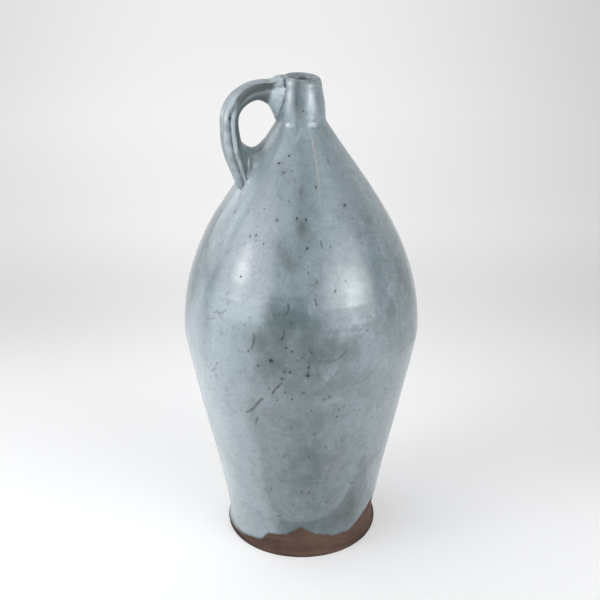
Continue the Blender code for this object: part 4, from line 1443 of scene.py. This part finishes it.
class JUG_OT_body_glaze(Operator):
    """Dip the pot: the running coat with its wavy edge, gouges, seam and rim"""

    bl_idname = "jug.body_glaze"
    bl_label = "Body glaze"

    def execute(self, context):
        jug, glaze = context.scene.jug_sizes, context.scene.jug_glaze
        kept = {}

        def thickness_of(turn, height, radius, from_edge, past_crest):
            deep, values = coat_values(jug, turn, height, radius, from_edge, past_crest)
            kept.update(values)
            dip = smooth(-1.2 * MM, 1.2 * MM, height - between(SECOND_DIP, np.degrees(wrapped(turn))) * MM)
            edge = 1 - 0.80 * np.exp(-from_edge / 0.0011)
            bead = 0.10 * MM * bump(from_edge, 0.0022, 0.0016)
            thick = (glaze.thickness - 0.00012 * (1 - dip)) * edge + bead * edge
            form = body_relief(jug, turn, height) * (past_crest < 0)
            scars = 0.00011 * ripple(turn, height, 51, 240, 380) * patches(SCARRED_PATCHES, turn, height)
            lip = 0.00012 * dents(turn, height, DENT_SEED + 2) * smooth(0.385, 0.395, height)
            return thick + (form + lip + scars - 0.00075 * deep)

        outer, turn, height, radius, out_r, out_z = glaze_grid(jug, thickness_of)
        facing = np.stack((out_r * np.sin(turn), -out_r * np.cos(turn), out_z), -1)
        outer = drawn_up(jug, context.scene.jug_handle, glaze, outer, facing, turn, height)
        rows, columns = turn.shape
        rim = rows - RIM_ROWS - 2
        picks = np.unique(np.r_[0:EDGE_ROWS:3, EDGE_ROWS:rim:6, rim:rows:3, rows - 1])
        under = (body_relief(jug, turn, height) * (radius > jug.bore_radius + 0.001) + 0.00004)[picks]
        back = placed(jug, turn[picks], radius[picks] + out_r[picks] * under, height[picks] + out_z[picks] * under)
        points = np.vstack((outer, back[::-1])).reshape(-1, 3)
        values = {key: np.vstack((value, value[picks][::-1])) for key, value in kept.items()}
        faces = [hoop_faces(rows + len(picks), columns, True)]
        made = new_piece("body_glaze", points, faces, glaze_material("blue_grey_glaze", glaze), values)
        ride(made, "outer_glaze", "outer_glaze")
        return {"FINISHED"}


class JUG_OT_liner(Operator):
    """Line the inside with glaze, from the floor up into the bore"""

    bl_idname = "jug.liner"
    bl_label = "Liner glaze"

    def execute(self, context):
        jug, glaze = context.scene.jug_sizes, context.scene.jug_glaze
        clay = spaced(inside_line(jug), 0.0034)
        out = normals_of(clay)
        out[0] = (0, -1)
        near, far = clay - out * PIECE_GAP, clay - out * glaze.liner
        near[:, 0], far[:, 0] = np.maximum(near[:, 0], 0), np.maximum(far[:, 0], 0)
        near[0, 0] = far[0, 0] = 0
        ring = np.vstack((near, far[::-1]))
        middle = len(near)

        def relief(turn, height, line):
            wave = 0.00022 * np.sin(height * math.tau / 0.016 - turn) + 0.0001 * dents(turn, height, DENT_SEED + 4)
            swirl = 0.00025 * np.sin(line[:, 0][:, None] * math.tau / 0.009 - turn) * (height < 0.0105)
            calm = smooth(0.36, 0.34, height) * smooth(0.0, 0.012, line[:, 0])[:, None]
            inward = (np.arange(len(line)) >= middle)[:, None]
            return np.where(inward, (np.minimum(wave, 0.0001) + swirl) * calm, 0)

        look = glaze_material("liner_glaze", glaze, lively=False)
        made = turned_shell("inner_glaze", jug, ring, columns=150, look=look, relief=relief)
        ride(made, "liner_glaze", "liner_glaze")
        return {"FINISHED"}


# Iron specks


def speck_tree():
    """Scatters small domes of iron over a surface, each with its own tone."""
    tree = bpy.data.node_groups.new("iron_specks", "GeometryNodeTree")
    face = tree.interface
    for name, kind in (
        ("Geometry", "Geometry"),
        ("Density", "Float"),
        ("Smallest", "Float"),
        ("Largest", "Float"),
        ("Flatness", "Float"),
        ("Seed", "Int"),
        ("Finish", "Material"),
    ):
        face.new_socket(name, in_out="INPUT", socket_type="NodeSocket" + kind)
    face.new_socket("Geometry", in_out="OUTPUT", socket_type="NodeSocketGeometry")
    board = Board(tree)
    given = board.node("NodeGroupInput").outputs
    room = board.node("GeometryNodeInputNamedAttribute", {"data_type": "FLOAT"}, {"Name": "room"}).outputs[0]
    spread = board.node(
        "GeometryNodeDistributePointsOnFaces",
        {"distribute_method": "RANDOM"},
        {"Mesh": given["Geometry"], "Density": Number(board, room) * given["Density"], "Seed": given["Seed"]},
    ).outputs
    dome = board.node("GeometryNodeMeshIcoSphere", {}, {"Radius": 1.0, "Subdivisions": 2}).outputs[0]
    chance, tone = (
        Number(board, board.node("FunctionNodeRandomValue", {"data_type": "FLOAT"}, {"Seed": seed}).outputs[1])
        for seed in (given["Seed"], TONE_SEED)
    )
    sizes = {"Value": chance**3.0, "To Min": given["Smallest"], "To Max": given["Largest"]}
    size = Number(board, board.node("ShaderNodeMapRange", {}, sizes).outputs[0])
    scale = board.node("ShaderNodeCombineXYZ", {}, {0: size, 1: size, 2: size * given["Flatness"]}).outputs[0]
    specks = board.node(
        "GeometryNodeInstanceOnPoints",
        {},
        {"Points": spread["Points"], "Instance": dome, "Rotation": spread["Rotation"], "Scale": scale},
    ).outputs[0]
    toned = board.node(
        "GeometryNodeStoreNamedAttribute",
        {"data_type": "FLOAT", "domain": "INSTANCE"},
        {"Geometry": specks, "Name": "tone", "Value": tone},
    ).outputs[0]
    real = board.node("GeometryNodeRealizeInstances", {}, {"Geometry": toned}).outputs[0]
    smoothed = board.node("GeometryNodeSetShadeSmooth", {}, {"Geometry": real}).outputs[0]
    finished = board.node("GeometryNodeSetMaterial", {}, {"Geometry": smoothed, "Material": given["Finish"]})
    board.node("NodeGroupOutput", {}, {"Geometry": finished.outputs[0]})
    return tree


def made_plain(carrier, name):
    """The evaluated carrier as a plain mesh object of its own, and the carrier gone."""
    graph = bpy.context.evaluated_depsgraph_get()
    mesh = bpy.data.meshes.new_from_object(carrier.evaluated_get(graph))
    mesh.name = name
    bpy.data.objects.remove(carrier)
    return added(name, mesh)


class JUG_OT_specks(Operator):
    """Scatter the iron specks that bled through the glaze"""

    bl_idname = "jug.specks"
    bl_label = "Iron specks"

    def execute(self, context):
        jug, glaze = context.scene.jug_sizes, context.scene.jug_glaze
        look = speck_material("iron_speck", glaze)
        tree = speck_tree()
        coat = bpy.data.objects["body_glaze"]
        carrier = added("speck_carrier", self.outer_skin(coat.data))
        change = carrier.modifiers.new("specks", "NODES")
        change.node_group = tree
        given = {"Density": 2200.0, "Smallest": 0.00016, "Largest": 0.00072, "Flatness": 0.16}
        given |= {"Seed": SPECK_SEED, "Finish": look}
        for item in tree.interface.items_tree:
            if item.in_out == "INPUT" and item.name in given:
                change[item.identifier] = given[item.name]
        ride(made_plain(carrier, "iron_specks"), "outer_glaze")
        ride(self.chosen_spots(jug, glaze, look), "outer_glaze")
        return {"FINISHED"}

    @staticmethod
    def outer_skin(mesh):
        """A copy of the coat's outer side, with how much room there is for scattered specks."""
        shape = bmesh.new()
        shape.from_mesh(mesh)
        shape.normal_update()

        def left_out(face):
            """Whether a face looks inward or lies on top of the rim."""
            middle = face.calc_center_median()
            return face.normal.x * middle.x + face.normal.y * middle.y < 0 or middle.z > SPECK_TOP

        bmesh.ops.delete(shape, geom=[face for face in shape.faces if left_out(face)], context="FACES")
        layer = shape.verts.layers.float.new("room")
        for point in shape.verts:
            turn = math.degrees(math.atan2(point.co.x, -point.co.y))
            point[layer] = 0.22 if -85 < turn < 80 else 0.7
        copy = bpy.data.meshes.new("speck_ground")
        shape.to_mesh(copy)
        shape.free()
        return copy

    @staticmethod
    def chosen_spots(jug, glaze, look):
        """The larger spots, each a low dome on the glaze at its own place."""
        line = pot_line(jug)
        crest = np.argmax(line[:, 1])
        normal = normals_of(line)
        shape = bmesh.new()
        tone = shape.verts.layers.float.new("tone")
        for degrees, spot_height, size in IRON_SPOTS:
            turn, height = np.array(math.radians(degrees)), np.array(spot_height * MM)
            radius = np.interp(height, line[:crest, 1], line[:crest, 0])
            out_r, out_z = (np.interp(height, line[:crest, 1], normal[:crest, k]) for k in (0, 1))
            out = glaze.thickness + body_relief(jug, turn, height)
            facing = Vector((out_r * math.sin(turn), -out_r * math.cos(turn), out_z))
            seat = facing.to_track_quat("Z", "Y").to_matrix().to_4x4()
            seat.translation = Vector(placed(jug, turn, radius + out_r * out, height + out_z * out))
            wide = size * MM * 1.06
            for point in bmesh.ops.create_icosphere(shape, subdivisions=2, radius=1.0)["verts"]:
                lump = 1 + 0.16 * math.sin(3 * math.atan2(point.co.y, point.co.x) + spot_height)
                point.co = seat @ Vector((point.co.x * wide * lump, point.co.y * wide * lump, point.co.z * DOME_HEIGHT))
                point[tone] = min(0.75, max(0.0, 1.15 - size * 1.2))
        mesh = bpy.data.meshes.new("iron_spots")
        shape.to_mesh(mesh)
        shape.free()
        mesh.shade_smooth()
        mesh.materials.append(look)
        return added("iron_spots", mesh)


# Stage


def hang_panel(name, corners, look):
    """A glowing panel that the camera doesn't see."""
    panel = new_piece(name, corners, [np.array([[0, 1, 2, 3]])], look)
    panel.visible_camera = False


def soft_panel(name, power, turns, span, distance, soft, heart=None, sill=0.0):
    """A glowing panel round the jug between two turns and two heights, with soft left, right, low and high borders.

    Its heart (a turn, a height, a radius and a share) is where it is brightest. The sill is its glow at the bottom.
    """
    bottom, top = span
    middle = math.radians(sum(turns) / 2)
    half = distance * math.tan(math.radians((turns[1] - turns[0]) / 2))
    centre = Vector((distance * math.sin(middle), -distance * math.cos(middle), 0))
    across = Vector((math.cos(middle), math.sin(middle), 0))
    corners = ((-1, bottom), (1, bottom), (1, top), (-1, top))
    made, board = new_material(name)
    place = board.place()
    z = board.parts(place)[2]
    side = board.node("ShaderNodeVectorMath", {"operation": "DOT_PRODUCT"}, {0: place, 1: across})
    side = Number(board, side.outputs["Value"])
    left, right, low, high = (max(border, SHORTEST_BORDER) for border in soft)
    glow = board.smooth(side, -half, -half + left) * board.smooth(side, half, half - right)
    glow = glow * board.smooth(z, bottom, bottom + low, sill) * board.smooth(z, top, top - high)
    if heart is not None:
        turn, height, radius, share_there = heart
        off = side - distance * math.tan(math.radians(turn) - middle)
        away = board.maths("SQRT", off * off + (z - height) * (z - height))
        glow = glow * board.smooth(away, radius, 0.0, 1 - share_there)
    board.finish(board.glow(board.mix(glow, BLACK, (0.95, 0.97, 1.0, 1)), power))
    hang_panel(name, [centre + across * aside * half + Vector((0, 0, up)) for aside, up in corners], made)


def top_panel(name, power, centre, half):
    """A wide soft panel overhead."""
    made, board = new_material(name)
    x, y, _ = board.parts(board.place())
    off_x, off_y = x - centre[0], y - centre[1]
    reach = board.maths("SQRT", off_x * off_x + off_y * off_y)
    board.finish(board.glow(board.mix(board.smooth(reach, half, 0.35), BLACK, WHITE), power))
    corners = ((-half, -half), (-half, half), (half, half), (half, -half))
    hang_panel(name, [(x + centre[0], y + centre[1], centre[2]) for x, y in corners], made)


# Name, setting of its power, turns, heights, distance, soft borders, heart and glow at the bottom

LEFT_HEART, RIGHT_HEART = (-66.5, 0.77, 0.38, 0.75), (53, 0.53, 0.42, 0.58)
SOFTBOXES = (
    ("left_softbox", "left_power", (-96, -28), (0.04, 2.30), 1.5, (0.35, 0.38, 0.55, 1.55), LEFT_HEART, 0.30),
    ("left_back_softbox", "back_power", (-140, -98), (0.20, 1.80), 1.5, (0.15, 0.10, 0.20, 0.50)),
    ("right_softbox", "right_power", (15, 81), (0.27, 1.35), 1.3, (0.56, 0.36, 0.24, 0.75), RIGHT_HEART, 0.40),
    ("right_low_softbox", "low_power", (15, 81), (0.04, 0.27), 1.3, (0.56, 0.36, 0.06, 0.0)),
    ("right_skirt", "skirt_power", (10, 88), (0.08, 2.30), 1.5, (0.45, 0.80, 0.30, 1.40)),
)


class JUG_OT_stage(Operator):
    """Set the pale floor, the softboxes, the room and the camera"""

    bl_idname = "jug.stage"
    bl_label = "Stage"

    def execute(self, context):
        stage = context.scene.jug_stage
        self.floor(stage)
        for name, power, *form in SOFTBOXES:
            soft_panel(name, getattr(stage, power), *form)
        top_panel("top_softbox", stage.top_power, (-0.55, 0.25, 1.7), 1.2)
        self.room(context, stage)
        self.camera(context)
        context.scene.view_settings.view_transform = "Standard"
        return {"FINISHED"}

    @staticmethod
    def floor(stage):
        """A pale floor that keeps the jug's shadow, and turns into a pale glowing backdrop farther off, with painted
        shade: darker far to the left and right, in a band where a paper sweep would curve up, and right of the foot.
        """
        half = stage.floor_size / 2
        made, board = new_material("pale_floor")
        x, y, _ = board.parts(board.place())
        reach = board.maths("SQRT", x * x + y * y)
        aside = x / board.maths("MAXIMUM", y + 1.1, 0.3)
        # Painted shade on the glowing backdrop: darker far to the right, less so in front, and far to the left
        off = board.smooth(y, -0.08, 0.14, 0.35, 1)
        tone = board.mix(board.smooth(aside, -0.02, 0.42) * off, solid(stage.backdrop), solid(stage.backdrop_right_shade))
        left = board.smooth(aside, -0.08, -0.40) * board.smooth(y, 0.05, 0.35)
        tone = board.mix(left, tone, solid(stage.backdrop_left_shade))
        # Whiter in front of the jug, but less so right of the foot, where this paints a wider shadow
        front = board.smooth(y, 0.12, -0.04) * board.smooth(aside, 0.02, 0.16, 1, 0.35)
        tone = board.mix(front, tone, WHITE)
        # Painted shade: a darker band where a paper sweep would curve up, deeper on the left, on the backdrop and the
        # lit floor alike
        sweep_shade = board.smooth(y, 0.22, 0.48) * board.smooth(y, 0.80, 0.50, 0, 0.095)
        beside = board.smooth(aside, -0.04, -0.24) * board.smooth(y, 0.20, 0.45) * board.smooth(y, 1.5, 0.7, 0, 0.085)
        sweep_shade = sweep_shade + beside
        tone = board.mix(sweep_shade, tone, BLACK)
        near = board.mix(sweep_shade, solid(stage.floor_tone), BLACK)
        paper = board.surface(near, 0.9, Specular_IOR_Level=0.1)
        rays = board.node("ShaderNodeLightPath").outputs
        kinds = (Number(board, rays[f"Is {kind} Ray"]) for kind in ("Camera", "Glossy", "Transmission"))
        part = board.smooth(reach, 0.10, 1.6, 0.38, 0.85) * board.maths("MINIMUM", sum(kinds), 1.0)
        board.finish(board.node("ShaderNodeMixShader", {}, {0: part, 1: paper, 2: board.glow(tone)}).outputs[0])
        corners = [(x, y, 0.0) for x, y in ((-half, -half), (half, -half), (half, half), (-half, half))]
        floor = new_piece("floor", corners, [np.array([[0, 1, 2, 3]])], made)

    @staticmethod
    def room(context, stage):
        """Dim around the camera and pale behind the jug."""
        world = bpy.data.worlds.new("room")
        context.scene.world = world
        world.use_nodes = True
        board = Board(world.node_tree)
        behind = board.smooth(board.parts(board.node("ShaderNodeTexCoord").outputs["Generated"])[1], -0.30, 0.65)
        tone = board.mix(behind, solid(stage.room_front), solid(stage.room_back))
        board.finish(board.node("ShaderNodeBackground", {}, {"Color": tone, "Strength": 1.0}).outputs[0])

    @staticmethod
    def camera(context):
        lens = bpy.data.cameras.new("camera")
        lens.sensor_width, lens.lens = SENSOR_WIDTH, FOCAL_LENGTH
        lens.clip_start, lens.clip_end = 0.01, 100
        view = added("camera", lens)
        view.location = CAMERA_PLACE
        view.rotation_euler = (math.radians(90 - CAMERA_DIP), 0, 0)
        context.scene.camera = view


OPERATORS = (
    JUG_OT_lower_section,
    JUG_OT_shoulder_section,
    JUG_OT_neck_ring,
    JUG_OT_handle_clay,
    JUG_OT_liner,
    JUG_OT_body_glaze,
    JUG_OT_handle_glaze,
    JUG_OT_specks,
    JUG_OT_stage,
)

SETTINGS = {
    "jug_sizes": JugSizes,
    "jug_handle": HandleSizes,
    "jug_glaze": GlazeFinish,
    "jug_clay": ClayFinish,
    "jug_stage": Stage,
}


class JUG_PT_panel(Panel):
    bl_label = "Stoneware Jug"
    bl_idname = "JUG_PT_panel"
    bl_space_type = "VIEW_3D"
    bl_region_type = "UI"
    bl_category = "Jug"

    def draw(self, context):
        for name in SETTINGS:
            box = self.layout.box()
            group = getattr(context.scene, name)
            for key in group.bl_rna.properties.keys():
                if key not in ("rna_type", "name"):
                    box.prop(group, key)
        for operator in OPERATORS:
            self.layout.operator(operator.bl_idname)


def register():
    for group in (*SETTINGS.values(), *OPERATORS, JUG_PT_panel):
        bpy.utils.register_class(group)
    for name, group in SETTINGS.items():
        setattr(bpy.types.Scene, name, PointerProperty(type=group))


def unregister():
    for name in SETTINGS:
        delattr(bpy.types.Scene, name)
    for group in (JUG_PT_panel, *OPERATORS[::-1], *SETTINGS.values()):
        bpy.utils.unregister_class(group)


def main():
    register()
    bpy.ops.jug.lower_section()
    bpy.ops.jug.shoulder_section()
    bpy.ops.jug.neck_ring()
    bpy.ops.jug.handle_clay()
    bpy.ops.jug.liner()
    bpy.ops.jug.body_glaze()
    bpy.ops.jug.handle_glaze()
    bpy.ops.jug.specks()
    bpy.ops.jug.stage()


if __name__ == "__main__":
    main()
